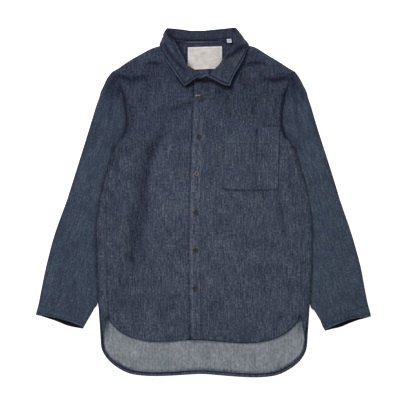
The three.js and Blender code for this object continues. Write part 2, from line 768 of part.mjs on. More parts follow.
// The stand's upper edge lies inside the leaf, square to the leaf's surface at the roll
const standRows = COLLAR.map((station, k) => {
  const seamPoint = collarPoint(station.seam);
  const roll = leafRows[k][0];
  const next = leafRows[Math.min(COLLAR.length - 1, k + 1)][0];
  const alongRoll = next.clone().sub(leafRows[Math.max(0, k - 1)][0]);
  const inward = leafLines[k].getTangent(0).cross(alongRoll).normalize();
  if (inward.dot(seamPoint.clone().sub(roll)) < 0) inward.negate();
  const top = roll.clone().addScaledVector(inward, ROLL_GAP);
  return steps(STAND_STEPS).map((t) => seamPoint.clone().lerp(top, t));
});
piece("collar_stand", thickened(standRows, COLLAR_WALL), denim);

// Label on the yoke and the small size tab at the neck seam, both bare

const LABEL = { x1: -41.5, x2: 45, y1: 335, y2: 394, columns: 6, rows: 5, wall: 1 };
const SIZE_TAB = { x1: 55, x2: 71, y1: 401.5, y2: 411.5, z: 10.9, wall: 1 };

const labelRows = steps(LABEL.rows).map((v) =>
  steps(LABEL.columns).map((u) =>
    new THREE.Vector3(mix(LABEL.x1, LABEL.x2, u), mix(LABEL.y1, LABEL.y2, v), 0),
  ),
);
piece("label", layer(labelRows, (x, y) => yokeTop(x, y) + 0.5, LABEL.wall), labelCloth);

const tab = new THREE.BoxGeometry(
  SIZE_TAB.x2 - SIZE_TAB.x1,
  SIZE_TAB.y2 - SIZE_TAB.y1,
  SIZE_TAB.wall,
);
piece("size_tab", tab, labelCloth).position.set(
  (SIZE_TAB.x1 + SIZE_TAB.x2) / 2,
  (SIZE_TAB.y1 + SIZE_TAB.y2) / 2,
  SIZE_TAB.z,
);

// Buttons: metal shank buttons with a dished middle

const BUTTONS = [
  { x: -6.8, y: 261 },
  { x: -13, y: 166.8 },
  { x: -17.5, y: 74.5 },
  { x: -20.3, y: -22 },
  { x: -21.8, y: -116 },
  { x: -23, y: -211.5 },
];
const BUTTON_PROFILE = [
  { radius: 0, height: 0 },
  { radius: 4.9, height: 0 },
  { radius: 5.75, height: 0.7 },
  { radius: 5.75, height: 1.5 },
  { radius: 4.8, height: 2.4 },
  { radius: 3.8, height: 2.4 },
  { radius: 2.8, height: 1.4 },
  { radius: 0, height: 1.4 },
];
const BUTTON_SEGMENTS = 20;
const BUTTON_GAP = 0.5;

const buttonOutline = BUTTON_PROFILE.map(({ radius, height }) => new THREE.Vector2(radius, height));
for (const [index, { x, y }] of BUTTONS.entries()) {
  const geometry = new THREE.LatheGeometry(buttonOutline, BUTTON_SEGMENTS).rotateX(Math.PI / 2);
  const z = placketUnder(x, y) + PLACKET_WALL + BUTTON_GAP;
  piece(`button_${index + 1}`, geometry, buttonMetal).position.set(x, y, z);
}

export default garment;
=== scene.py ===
import math

import bmesh
import bpy
import numpy as np
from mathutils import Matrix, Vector
from mathutils.bvhtree import BVHTree


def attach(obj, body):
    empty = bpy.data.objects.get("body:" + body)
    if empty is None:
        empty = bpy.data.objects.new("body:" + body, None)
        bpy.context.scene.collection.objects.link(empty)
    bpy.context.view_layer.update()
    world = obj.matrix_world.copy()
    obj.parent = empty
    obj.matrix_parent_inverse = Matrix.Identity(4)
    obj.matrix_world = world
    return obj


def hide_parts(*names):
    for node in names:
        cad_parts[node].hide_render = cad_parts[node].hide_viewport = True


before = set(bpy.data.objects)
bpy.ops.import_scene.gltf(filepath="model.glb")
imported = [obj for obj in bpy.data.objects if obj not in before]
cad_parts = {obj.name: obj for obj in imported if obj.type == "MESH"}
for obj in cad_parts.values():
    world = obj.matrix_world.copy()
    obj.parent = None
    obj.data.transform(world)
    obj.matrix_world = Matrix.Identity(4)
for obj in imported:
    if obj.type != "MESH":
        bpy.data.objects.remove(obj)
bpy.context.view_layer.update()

# Studio: the shirt is photographed from straight above, on white, in soft light from the
# upper left. Lengths are in metres, as everywhere in the scene.
CAMERA_HEIGHT = 4.0
VIEW_WIDTH = 1.04
VIEW_CENTRE = (0.01025, -0.01325)


def placed(name, data):
    thing = bpy.data.objects.new(name, data)
    bpy.context.scene.collection.objects.link(thing)
    return thing


camera_data = bpy.data.cameras.new("overhead_camera")
camera_data.sensor_width = 36
camera_data.lens = 36 * CAMERA_HEIGHT / VIEW_WIDTH
camera = placed("overhead_camera", camera_data)
camera.location = (*VIEW_CENTRE, CAMERA_HEIGHT)
bpy.context.scene.camera = camera
bpy.context.scene.view_settings.view_transform = "Standard"


def soft_light(name, place, size, watts):
    light = bpy.data.lights.new(name, "AREA")
    light.shape, light.size, light.energy = "SQUARE", size, watts
    lamp = placed(name, light)
    lamp.location = place
    lamp.rotation_euler = Vector(place).to_track_quat("Z", "Y").to_euler()


soft_light("key_softbox", (-1.9, 1.8, 1.7), 0.9, 72)
soft_light("top_softbox", (0.4, 0.2, 3.4), 2.6, 36)


def feed(tree, target, inputs):
    """Gives a node's inputs their values: constants, or outputs of other nodes."""
    for socket, value in inputs.items():
        if isinstance(value, bpy.types.NodeSocket):
            tree.links.new(value, target.inputs[socket])
        else:
            target.inputs[socket].default_value = value


def new_material(name):
    material = bpy.data.materials.new(name)
    material.use_nodes = True
    return material, material.node_tree, material.node_tree.nodes["Principled BSDF"]


sky = bpy.data.worlds.new("studio")
sky.use_nodes = True
feed(sky.node_tree, sky.node_tree.nodes["Background"], {"Color": (1, 1, 1, 1), "Strength": 0.33})
bpy.context.scene.world = sky

TABLE_REACH, TABLE_TOP = 6, -0.0006
table_mesh = bpy.data.meshes.new("white_table")
table_mesh.from_pydata([(x * TABLE_REACH, y * TABLE_REACH, TABLE_TOP)
                        for x, y in ((-1, -1), (1, -1), (1, 1), (-1, 1))], [], [(0, 1, 2, 3)])
table_white, tree, shader = new_material("table_white")
feed(tree, shader, {"Base Color": (0.86, 0.86, 0.86, 1), "Roughness": 0.9,
                    "Emission Color": (1, 1, 1, 1), "Emission Strength": 0.75})
table_mesh.materials.append(table_white)
placed("white_table", table_mesh)


# Denim: right-hand twill of indigo warp over pale weft, little washed, with a slubby warp that
# shows as short pale and dark streaks along the grain. The reverse shows the pale weft.
def srgb(*levels):
    """A colour given by its levels from 0 to 255, as the linear values that a shader wants."""
    linear = [
        level / 255 / 12.92 if level <= 10 else ((level / 255 + 0.055) / 1.055) ** 2.4
        for level in levels
    ]
    return (*linear, 1)


def add_node(tree, kind, inputs=None, **settings):
    made = tree.nodes.new(kind)
    for setting, value in settings.items():
        setattr(made, setting, value)
    feed(tree, made, inputs or {})
    return made


def mixed(tree, share, first, second):
    inputs = {"Factor": share, "A": first, "B": second}
    return add_node(tree, "ShaderNodeMix", inputs, data_type="RGBA").outputs["Result"]


def painted_value(tree, name):
    return add_node(tree, "ShaderNodeAttribute", attribute_name=name).outputs["Fac"]


def relief(tree, height, distance):
    return add_node(tree, "ShaderNodeBump", {"Height": height, "Distance": distance}).outputs["Normal"]


def twill_group():
    """Twill cloth: colour, roughness and height from the grain, with the tone painted on it: painted
    shade and light, and fading.
    """
    tree = bpy.data.node_groups.new("twill_cloth", "ShaderNodeTree")
    for kind, way, names in (
        ("Color", "INPUT", ("Cloth", "Pale Yarn And Light", "Dark Yarn And Shade", "Worn Edge")),
        ("Float", "INPUT", ("Slub", "Mottle", "Streak Length", "Streak Width")),
        ("Color", "OUTPUT", ("Color",)),
        ("Float", "OUTPUT", ("Roughness", "Height")),
    ):
        for name in names:
            tree.interface.new_socket(name, in_out=way, socket_type="NodeSocket" + kind)
    given = add_node(tree, "NodeGroupInput").outputs
    grain = add_node(tree, "ShaderNodeUVMap", uv_map="grain").outputs["UV"]

    def noise(scale, detail, roughness, vector):
        inputs = {"Vector": vector, "Scale": scale, "Detail": detail, "Roughness": roughness}
        return add_node(tree, "ShaderNodeTexNoise", inputs, noise_dimensions="2D").outputs["Fac"]

    def maths(operation, *values):
        return add_node(tree, "ShaderNodeMath", dict(enumerate(values)), operation=operation).outputs[0]

    def streaks(across, along):
        return add_node(tree, "ShaderNodeCombineXYZ", {"X": across, "Y": along}).outputs[0]

    split = add_node(tree, "ShaderNodeSeparateXYZ", {0: grain}).outputs
    along = split["Y"]
    across = maths("DIVIDE", split["X"], given["Streak Width"])
    slub = noise(220, 2.0, 0.6, streaks(across, maths("DIVIDE", along, given["Streak Length"])))
    ends = noise(300, 1.0, 0.5, streaks(across, maths("DIVIDE", along, 9)))
    mottle = noise(26, 3.0, 0.55, grain)

    slub_part = maths("MULTIPLY", maths("SUBTRACT", slub, 0.5), given["Slub"])
    ends_part = maths("MULTIPLY", maths("SUBTRACT", ends, 0.5), maths("MULTIPLY", given["Slub"], 0.6))
    mottle_part = maths("MULTIPLY", maths("SUBTRACT", mottle, 0.5), given["Mottle"])
    yarns = maths("ADD", slub_part, ends_part)
    # The painted tone: below zero painted shade, toward the dark yarn and past it the gap shade; above
    # zero painted light
    pale = maths("ADD", yarns, maths("ADD", mottle_part, painted_value(tree, "tone")))
    dark = maths("MULTIPLY", pale, -1.0)
    color = mixed(tree, maths("MAXIMUM", pale, 0.0), given["Cloth"], given["Pale Yarn And Light"])
    color = mixed(tree, maths("MAXIMUM", dark, 0.0), color, given["Dark Yarn And Shade"])
    # Past full dye lies the shade of a gap between two layers, which is almost black
    gap = maths("MAXIMUM", maths("SUBTRACT", dark, 1.4), 0.0)
    color = mixed(tree, gap, color, GAP_SHADE)
    rubbed = maths("MULTIPLY", painted_value(tree, "wear_and_highlight"), maths("ADD", slub, 0.45))
    color = mixed(tree, rubbed, color, given["Worn Edge"])

    rib = maths("SINE", maths("ADD", maths("MULTIPLY", split["X"], TWILL_ACROSS),
                              maths("MULTIPLY", along, TWILL_ALONG)))
    height = maths("ADD", maths("MULTIPLY", rib, 0.25), maths("MULTIPLY", slub, 0.9))
    roughness = maths("ADD", maths("MULTIPLY", slub, 0.1), 0.84)
    add_node(tree, "NodeGroupOutput", {"Color": color, "Roughness": roughness, "Height": height})
    return tree


GAP_SHADE = srgb(2, 3, 6)
TWILL_ACROSS, TWILL_ALONG = 5200, -3600  # radians a metre: lines 1 mm apart, up to the right
twill = twill_group()


def cloth_material(name, cloth, pale, dark, slub, mottle, streak, width=1.0):
    material, tree, shader = new_material(name)
    weave = add_node(tree, "ShaderNodeGroup", {
        "Cloth": cloth, "Pale Yarn And Light": pale, "Dark Yarn And Shade": dark, "Worn Edge": WORN, "Slub": slub,
        "Mottle": mottle, "Streak Length": streak, "Streak Width": width}, node_tree=twill).outputs
    feed(tree, shader, {
        "Base Color": weave["Color"], "Roughness": weave["Roughness"], "Specular IOR Level": 0.2,
        "Sheen Weight": 0.18, "Sheen Roughness": 0.5, "Normal": relief(tree, weave["Height"], 0.00022)})
    return material


PALE, DARK, WORN = srgb(102, 108, 121), srgb(12, 17, 40), (0.06, 0.12, 0.2, 1)
body_denim = cloth_material("body_denim", srgb(57, 64, 81), PALE, DARK, 1.95, 0.7, 1.15)
sleeve_denim = cloth_material("sleeve_denim", srgb(50, 60, 77), srgb(90, 102, 114), DARK, 1.5, 0.6, 0.95)
collar_denim = cloth_material(
    "collar_denim", srgb(43, 49, 67), srgb(92, 98, 112), DARK, 1.7, 0.6, 1.2, 0.85
)
yoke_denim = cloth_material("yoke_denim", srgb(38, 44, 62), srgb(84, 92, 110), DARK, 1.5, 0.5, 1.3)
reverse_denim = cloth_material(
    "reverse_denim", srgb(121, 128, 134), srgb(170, 176, 180), srgb(58, 66, 82), 1.25, 0.6, 1.6, 1.3
)


# Back: one wide panel that lies on the table face down, so its pale reverse shows inside the
# neck and at the long shirt tail. Its edge is folded up over itself, 10 mm at the tail.
MM = 0.001  # the tables of the cloth are in millimetres
WELD, CUT_ANGLE, RIM_ANGLE = 2e-5, 0.95, 0.8  # metres and radians

# Creases of the body as it lies: points of a soft line in millimetres, the width of its two
# flanks, how high it stands above the cloth (below zero it is a trough), and the tone painted
# along it: below zero painted shade in the crease, partly the dye a crease keeps; above zero paler
CREASES = [
    ([(-72, 215), (-96, 192), (-114, 160), (-132, 122), (-142, 82), (-146, 40), (-147, 0),
      (-151, -50), (-158, -100), (-163, -150)],
     13, 15, -2.1, -0.56),
    ([(-160, 10), (-172, -48), (-180, -100), (-178, -150), (-182, -200)], 10, 11, -1.1, -0.30),
    ([(-158, 150), (-178, 100), (-186, 42), (-196, -48), (-206, -116), (-222, -205)],
     12, 16, 1.6, 0.10),
    ([(-206, -90), (-209, -150), (-206, -210)], 6, 6, -0.8, -0.22),
    ([(-96, 150), (-118, 96), (-130, 40), (-140, -40), (-150, -120)], 14, 12, 1.3, 0.06),
    ([(-228, 118), (-220, 86), (-212, 64)], 9, 10, -1.1, -0.40),
    ([(-242, 40), (-236, 12)], 7, 8, -0.6, -0.30),
    ([(-14, 270), (-50, 254), (-84, 244), (-124, 236)], 9, 8, 0.9, 0.06),
    ([(-34, 244), (-78, 232), (-128, 232)], 8, 9, -0.8, -0.30),
    ([(-165, 222), (-158, 198)], 7, 8, -0.6, -0.26),
    ([(-58, -229), (-74, -238), (-90, -248)], 6, 8, -0.9, -0.32),
    ([(-50, -214), (-78, -224), (-104, -240)], 9, 8, 0.9, 0.06),
    ([(-60, -262), (-92, -266), (-132, -280)], 9, 9, -0.7, -0.18),
    ([(182, 60), (188, 30), (192, -12), (200, -60), (206, -96)], 7, 8, -1.0, -0.34),
    ([(171, 60), (178, 10), (184, -40)], 8, 8, 0.8, 0.06),
    ([(158, 110), (154, 70), (160, 20)], 6, 7, -0.5, -0.14),
    ([(-222, 318), (-200, 314), (-184, 309)], 4, 6, -1.6, -0.80),
    ([(-186, 309), (-160, 314), (-136, 312)], 5, 8, -1.2, -0.50),
    ([(-146, 343), (-136, 350), (-104, 346)], 4, 6, -1.4, -0.62),
    ([(95, 340), (112, 349), (142, 350), (162, 344)], 4, 6, -1.4, -0.62),
    ([(150, 309), (180, 306), (206, 313), (221, 322)], 4, 6, -1.6, -0.75),
    ([(-206, 296), (-176, 286), (-150, 292)], 9, 9, 1.0, -0.02),
    ([(206, 292), (178, 284), (150, 290)], 9, 9, 1.0, -0.02),
    ([(-182, 262), (-178, 222), (-172, 186)], 5, 8, -0.8, -0.22),
    ([(-166, 268), (-160, 232), (-160, 196)], 6, 6, 0.7, 0.05),
    ([(184, 268), (178, 232), (182, 202)], 6, 7, -0.7, -0.20),
    ([(132, 262), (124, 240), (120, 216)], 8, 8, -0.9, -0.34),
    ([(146, 262), (138, 236), (136, 208)], 6, 6, 0.8, 0.06),
    ([(140, 200), (162, 188), (190, 186)], 8, 8, -0.8, -0.30),
    ([(20, 276), (48, 280), (80, 286)], 12, 12, -0.7, -0.20),
    ([(60, -40), (66, -120), (58, -190)], 12, 16, 0.7, 0.03),
    ([(36, 30), (40, -20), (38, -90)], 8, 9, -0.5, -0.14),
    ([(120, -90), (128, -160), (122, -230)], 14, 12, 0.7, 0.02),
    ([(-90, 60), (-84, -20), (-92, -110)], 14, 12, 0.6, 0.03),
    ([(-60, 215), (-95, 190), (-118, 160)], 10, 9, 0.6, 0.03),
]


def bell(values, centre, width, power=2):
    """A soft bump: 1 where a value meets the centre, falling to nothing over the width."""
    return np.exp(-(((values - centre) / width) ** power))


def ramp(values, start, end):
    share = np.clip((values - start) / (end - start), 0, 1)
    return share * share * (3 - 2 * share)


NOISE_SIZE = 256


def value_noise(x, y, seed):
    """Smooth noise between -1 and 1 with one value at each whole number of x and y."""
    table_values = np.random.default_rng(seed).uniform(-1, 1, (NOISE_SIZE, NOISE_SIZE))
    column, row = np.floor(x).astype(int), np.floor(y).astype(int)
    part_x, part_y = x - column, y - row
    part_x = part_x * part_x * (3 - 2 * part_x)
    part_y = part_y * part_y * (3 - 2 * part_y)

    def at(i, j):
        return table_values[(column + i) % NOISE_SIZE, (row + j) % NOISE_SIZE]

    low = at(0, 0) * (1 - part_x) + at(1, 0) * part_x
    high = at(0, 1) * (1 - part_x) + at(1, 1) * part_x
    return low * (1 - part_y) + high * part_y


def uneven(x, y, *waves):
    """Sums waves of smooth noise: each one's height, its length across and along, and its seed."""
    return sum(height * value_noise(x / across, y / along, seed)
               for height, across, along, seed in waves)


def beside_line(x, y, points):
    """For each place: how far it is from a line, on which side, and how far along the line."""
    nearest = np.full(x.shape, 1e9)
    side = np.zeros(x.shape)
    along = np.zeros(x.shape)
    before = 0.0
    for (x1, y1), (x2, y2) in zip(points[:-1], points[1:]):
        dx, dy = x2 - x1, y2 - y1
        length = math.hypot(dx, dy)
        share = np.clip(((x - x1) * dx + (y - y1) * dy) / length**2, 0, 1)
        off_x, off_y = x - x1 - share * dx, y - y1 - share * dy
        distance = np.hypot(off_x, off_y)
        closer = distance < nearest
        nearest = np.where(closer, distance, nearest)
        side = np.where(closer, np.sign(off_x * dy - off_y * dx), side)
        along = np.where(closer, before + share * length, along)
        before += length
    return nearest, side, along, before


def inward(x, y, points):
    """How far each place is inside a seam of one side, below zero where it is outside."""
    distance, side, _, _ = beside_line(x, y, points)
    return distance * side * math.copysign(1, points[0][0])


def outline_of(x, y, centre_x, centre_y, steps=200):
    """The outer edge of a piece as seen from above, as points round a place inside it."""
    angle = np.arctan2(y - centre_y, x - centre_x)
    reach = np.hypot(x - centre_x, y - centre_y)
    sector = np.minimum(((angle + math.pi) / (2 * math.pi) * steps).astype(int), steps - 1)
    edge = []
    for number in range(steps):
        inside = np.flatnonzero(sector == number)
        if len(inside):
            farthest = inside[np.argmax(reach[inside])]
            edge.append((x[farthest], y[farthest]))
    return edge + edge[:1]


def crease_rise(x, y, creases):
    """The height of the creases at each place, and the tone painted along them: mostly painted shade,
    partly dye.
    """
    rise, tone = np.zeros(x.shape), np.zeros(x.shape)
    for points, first_flank, second_flank, height, shade_and_dye in creases:
        distance, side, along, length = beside_line(x, y, points)
        flank = np.where(side < 0, first_flank, second_flank)
        ends = np.clip(np.minimum(along, length - along) / (0.3 * length) + 0.25, 0, 1)
        profile = ends * bell(distance, 0, flank)
        rise += height * profile
        tone += shade_and_dye * profile
    return rise, tone


# Seams of the body that pull the cloth into small puckers: a line, how far the puckers reach
# to each side, their length along the seam and their height
ARMHOLE_LINE = [
    (-225, 142), (-203, 165), (-195, 189), (-193.5, 207), (-197, 239), (-204, 282), (-213, 306),
    (-226, 326),
]
SIDE_LINE = [
    (-219, 141), (-237, 80), (-247, 28), (-246, -50), (-244.5, -118), (-242, -220), (-240, -288),
]
FRONT_HEM_LINE = [(-240, -289), (-224, -311), (-198, -331), (-150, -346), (-100, -350), (-50, -347)]
PLACKET_EDGE = [(-24, 303), (-26, 244), (-32, 108), (-36.5, -86), (-35, -213), (-33, -342)]


def other_side(points):
    return [(-x, y) for x, y in points]


def shifted(points, dx, dy=0.0):
    return [(x + dx, y + dy) for x, y in points]


PUCKERS = [
    (ARMHOLE_LINE, 9, 11, 0.45), (other_side(ARMHOLE_LINE), 9, 11, 0.45), (SIDE_LINE, 10, 13, 0.5),
    (other_side(SIDE_LINE), 10, 13, 0.5), (FRONT_HEM_LINE, 9, 12, 0.55),
    (other_side(FRONT_HEM_LINE), 9, 12, 0.55), (PLACKET_EDGE, 7, 12, 0.35),
    (shifted(PLACKET_EDGE, 29), 8, 14, 0.5),
]
# Small tucks across the lower placket: how far up the shirt, and half their width
PLACKET_LADDER = [
    (-318, 2.2), (-309, 2.4), (-301, 2.2), (-293, 2.4), (-285, 2.1), (-278, 2.3), (-270, 2.2),
    (-262, 2.4), (-253, 2.2),
]


def ladder(x, y):
    rungs = np.zeros(x.shape)
    inside = bell(x, -19, 13, 4)
    for rung_y, half in PLACKET_LADDER:
        rungs += inside * np.exp(-(((y - rung_y - 0.12 * (x + 19)) / half) ** 2))
    return rungs


NECK_CENTRE_Y, NECK_REACH = 396, 92  # the cloth is calm round the neck, held by the collar


def lay(x, y):
    """How far the layers on top of the back rise or sink at each place, in millimetres."""
    rise, _ = crease_rise(x, y, CREASES)
    for seed, (points, reach, pitch, height) in enumerate(PUCKERS):
        distance, _, along, _ = beside_line(x, y, points)
        wave = value_noise(along / pitch, distance / 40, 40 + seed)
        rise += height * wave * bell(distance, 0, reach)
    rise += 0.7 * ladder(x, y)
    calm = np.clip((245 - np.abs(x)) / 45, 0, 1)
    rise += 0.38 * value_noise(x / 46, y / 62, 7) * calm
    rise += uneven(x, y, (0.22, 19, 27, 8), (0.10, 8.5, 12, 9))
    from_neck = np.hypot(x, y - NECK_CENTRE_Y) / NECK_REACH
    return rise * np.clip((from_neck - 0.82) / 0.16, 0, 1)


# Tone painted on the cloth: in LEAF_SHADOWS along lines (points, half width, amount), the painted
# shadows of the collar leaves; in the others as spots, mostly painted shade and light of the body's
# folds and shoulders, partly fading; amounts say how much paler or, below zero, darker it is there
LEAF_SHADOWS = [
    ([(-69, 314), (-54, 296), (-45, 290)], 3.0, -1.2),
    ([(-46, 289), (-28, 298), (-11, 308)], 3.4, -2.0), ([(-15, 308), (0, 304), (12, 308)], 4.5, -2.4),
    ([(10, 308), (30, 298), (54, 288), (66, 286)], 3.6, -2.0),
    ([(63, 286), (71, 302), (79, 321), (88, 343), (99, 366), (108, 386)], 4.4, -2.0),
    ([(-76, 326), (-92, 352)], 3.0, -0.4), ([(-96, 362), (-108, 386)], 3.0, -0.4),
]
BODY_TONES = [
    (-185, 20, 60, 190, -0.14), (20, 225, 230, 80, -0.18), (120, 90, 50, 50, -0.12),
    (-178, 0, 26, 160, -0.10), (-112, 372, 14, 10, -0.35), (122, 370, 16, 9, -0.25),
    (-128, 170, 70, 90, -0.12), (0, 330, 260, 55, -0.38), (-160, 290, 60, 45, -0.20),
    (-190, 306, 34, 13, -0.28, 12), (-218, 272, 9, 30, -0.26), (192, 310, 36, 12, -0.28, -12),
    (-205, 225, 12, 36, -0.18), (208, 238, 12, 36, -0.2), (-135, 380, 20, 9, -0.25),
    (212, 60, 7, 40, -0.16), (-130, 262, 12, 26, 0.16), (-195, 158, 10, 12, 0.18),
    (-185, 74, 12, 14, 0.2), (68, 262, 14, 30, 0.12), (172, 146, 12, 14, 0.14),
    (-152, -60, 8, 60, 0.14), (-30, 130, 9, 60, -0.12), (-20, 172, 8, 14, -0.15),
    (-60, 100, 26, 16, 0.06), (165, 285, 55, 40, -0.20), (50, 280, 50, 26, -0.18),
    (130, 225, 60, 45, -0.12), (20, 60, 90, 90, 0.05), (0, -80, 150, 160, 0.03),
    (-232, -60, 14, 200, -0.08), (228, -60, 14, 200, -0.08), (90, 322, 10, 34, -0.25, -30),
    (-190, -250, 40, 60, -0.10), (-40, -290, 60, 50, -0.06), (0, -338, 240, 14, -0.05),
]


def lined(x, y, lines):
    """The tone along thin lines: points, half width in millimetres, and how much darker."""
    total = np.zeros(x.shape)
    for points, half, amount in lines:
        distance, _, along, length = beside_line(x, y, points)
        ends = np.clip(np.minimum(along, length - along) / 6 + 0.4, 0, 1)
        total += amount * ends * bell(distance, 0, half)
    return total


def spots(x, y, rows):
    """Adds up round spots: place, reach across and along, amount, and perhaps a turn in degrees."""
    total = np.zeros(x.shape)
    for centre_x, centre_y, reach_x, reach_y, amount, *turn in rows:
        angle = math.radians(sum(turn))
        dx, dy = x - centre_x, y - centre_y
        local_x = dx * math.cos(angle) - dy * math.sin(angle)
        local_y = dx * math.sin(angle) + dy * math.cos(angle)
        total += amount * bell(local_x, 0, reach_x) * bell(local_y, 0, reach_y)
    return total


def fine_copy(node, name, levels, two_sided=False):
    """A CAD panel's mesh, welded and back in quads, subdivided with its cut edges kept sharp.

    On a two-sided panel the faces that are the cloth's reverse get material number 1."""
    work = bmesh.new()
    work.from_mesh(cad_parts[node].data)
    bmesh.ops.remove_doubles(work, verts=work.verts, dist=WELD)
    bmesh.ops.join_triangles(
        work, faces=work.faces, angle_face_threshold=0.5, angle_shape_threshold=1.3
    )
    crease = work.edges.layers.float.new("crease_edge")
    for edge in work.edges:
        if len(edge.link_faces) == 2 and edge.calc_face_angle() > CUT_ANGLE:
            edge[crease] = 1.0
    if two_sided:
        work.faces.ensure_lookup_table()
        start = max(
            (face for face in work.faces if face.normal.z > 0.9 and face.calc_center_median().z < 0.002),
            key=lambda face: -face.calc_center_median().y,
        )
        reverse, waiting = {start}, [start]
        while waiting:
            for edge in waiting.pop().edges:
                if edge[crease] > 0.5:
                    continue
                for face in edge.link_faces:
                    if face not in reverse:
                        reverse.add(face)
                        waiting.append(face)
        for face in work.faces:
            face.material_index = 1 if face in reverse else 0
    mesh = bpy.data.meshes.new(name)
    work.to_mesh(mesh)
    work.free()
    coarse = placed(name + "_coarse", mesh)
    fine = coarse.modifiers.new("fine", "SUBSURF")
    fine.levels = fine.render_levels = levels
    evaluated = coarse.evaluated_get(bpy.context.evaluated_depsgraph_get())
    finished = bpy.data.meshes.new_from_object(evaluated)
    finished.name = name
    bpy.data.objects.remove(coarse)
    bpy.data.meshes.remove(mesh)
    piece = placed(name, finished)
    return piece, points_of(piece)


def points_of(piece):
    flat = np.empty(len(piece.data.vertices) * 3)
    piece.data.vertices.foreach_get("co", flat)
    return flat.reshape(-1, 3) / MM


def settle(piece, points, *grain):
    """Moves a piece's points, and gives it the cloth's directions, across the warp and along it,
    as a UV map in metres."""
    piece.data.vertices.foreach_set("co", (points * MM).ravel())
    piece.data.update()
    if grain:
        layer = piece.data.uv_layers.new(name="grain")
        corners = np.empty(len(piece.data.loops), int)
        piece.data.loops.foreach_get("vertex_index", corners)
        layer.data.foreach_set("uv", np.stack([way[corners] for way in grain], 1).ravel() * MM)


def set_tone(piece, tone, wear_and_highlight=None):
    for name, values in (("tone", tone), ("wear_and_highlight", wear_and_highlight)):
        if values is not None:
            attribute = piece.data.attributes.new(name, "FLOAT", "POINT")
            attribute.data.foreach_set("value", values.astype(np.float32))


def dressed(piece, nodes, slot, *materials):
    numbers = np.empty(len(piece.data.polygons), int)
    piece.data.polygons.foreach_get("material_index", numbers)
    piece.data.materials.clear()
    for material in materials:
        piece.data.materials.append(material)
    piece.data.polygons.foreach_set("material_index", np.minimum(numbers, len(materials) - 1))
    piece.data.polygons.foreach_set("use_smooth", [True] * len(piece.data.polygons))
    sharp_rims(piece)
    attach(piece, "root")
    if nodes:
        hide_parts(*nodes)


def sharp_rims(piece):
    """Cut edges of the cloth stay crisp under smooth shading."""
    work = bmesh.new()
    work.from_mesh(piece.data)
    for edge in work.edges:
        if len(edge.link_faces) == 2 and edge.calc_face_angle() > RIM_ANGLE:
            edge.smooth = False
    work.to_mesh(piece.data)
    work.free()


def shoulder_lift(x, y):
    """The shoulders stand a little fuller beside the collar and over the heads of the sleeves."""
    beside_collar = [(125, 384, 20, 13, 2.4), (-134, 384, 22, 13, 1.5)]
    return spots(x, y, beside_collar) + spots(np.abs(x), y, [(229, 330, 11, 12, 2.4)])


TAIL_TONES = [
    (-165, -392, 44, 28, -0.16), (10, -378, 7, 36, -0.45), (126, -382, 8, 28, -0.40),
    (-192, -345, 22, 12, -0.24), (178, -384, 16, 12, 0.12), (-60, -375, 30, 20, 0.05),
    (-178, -408, 10, 12, -0.2),
]
# Painted shade at the armpits and in the vent notches at the sides
SIDE_SHADES = [(224, 140, 12, 12, -0.35), (237, -289, 9, 9, -1.5), (240, -312, 5, 16, -0.8)]
back, points = fine_copy("back", "back_panel", 2, two_sided=True)
x, y, z = points.T
points[:, 2] += lay(x, y) * ramp(z, 2.0, 4.0) * ramp(y, -352, -335)
tail_wave = uneven(x, y, (0.5, 17, 60, 21), (0.35, 7, 40, 22))
points[:, 2] += (tail_wave + 0.2) * ramp(z, 2.4, 3.6) * ramp(-y, 340, 352)
rim = beside_line(x, y, outline_of(x, y, 0, -80))[0]
corner = bell(rim, 0, 14) * bell(np.abs(x), 238, 32) * bell(y, -388, 36)
fuller = bell(rim, 0, 14) * bell(np.abs(x), 188, 28) * ramp(-y, 392, 414)
points[:, 0] += np.where(x > 0, 2.2, -1.3) * corner
points[:, 0] += 1.6 * np.sign(x) * bell(rim, 0, 14) * bell(y, -366, 17) * bell(np.abs(x), 255, 20)
points[:, 1] += shoulder_lift(x, y) - np.where(x > 0, 1.8, 0.9) * corner - 1.7 * fuller
points[:, 0] += 1.0 * bell(x, -263, 6) * ramp(-y, 250, 262) * ramp(y, -362, -345)
settle(back, points, x, y)
# Darker towards the neck: painted shade inside the neck, under the collar
tone = uneven(x, y, (0.07, 30, 60, 23), (0.05, 9, 90, 24)) - 1.1 * ramp(y, 230, 290)
tone += spots(np.abs(x), y, SIDE_SHADES)
hem = ramp(-y, 296, 330)
hem_width = 5.5 + 3.4 * ramp(-y, 374, 404) + 1.2 * bell(x, 30, 110) * ramp(-y, 400, 418)
# On the tail: painted shade along the inner edge of the turned hem and at its folded outer edge
tone += hem * (0.10 - 1.7 * bell(rim, hem_width, 2.6) - 0.5 * bell(rim, 0, 1.5))
tone += 0.35 * hem * ramp(-y, -424, -392) * bell(rim, 10.5, 2.5)
# Above the hem: painted shade where the edge of the back folds up along the sides
tone -= (1 - hem) * (np.where(x > 0, 0.4, 0.85) * bell(rim, 0, 4.0) + 0.16 * bell(rim, 0, 14))
set_tone(back, tone + spots(x, y, TAIL_TONES))
dressed(back, ["back"], "denim_reverse", body_denim, reverse_denim)


# Yoke facing: a second layer of face-side denim inside the shoulders, seen in the neck, with
# a line of stitching where it is sewn down to the back
TAB_CENTRE, TAB_HALF = (63, 404), (7, 5)


def off_tab(x, y):
    """How far each place is outside the size tab, which shades the cloth round it."""
    over_x = np.abs(x - TAB_CENTRE[0]) - TAB_HALF[0]
    over_y = np.abs(y - TAB_CENTRE[1]) - TAB_HALF[1]
    return np.maximum(np.maximum(over_x, over_y), 0)


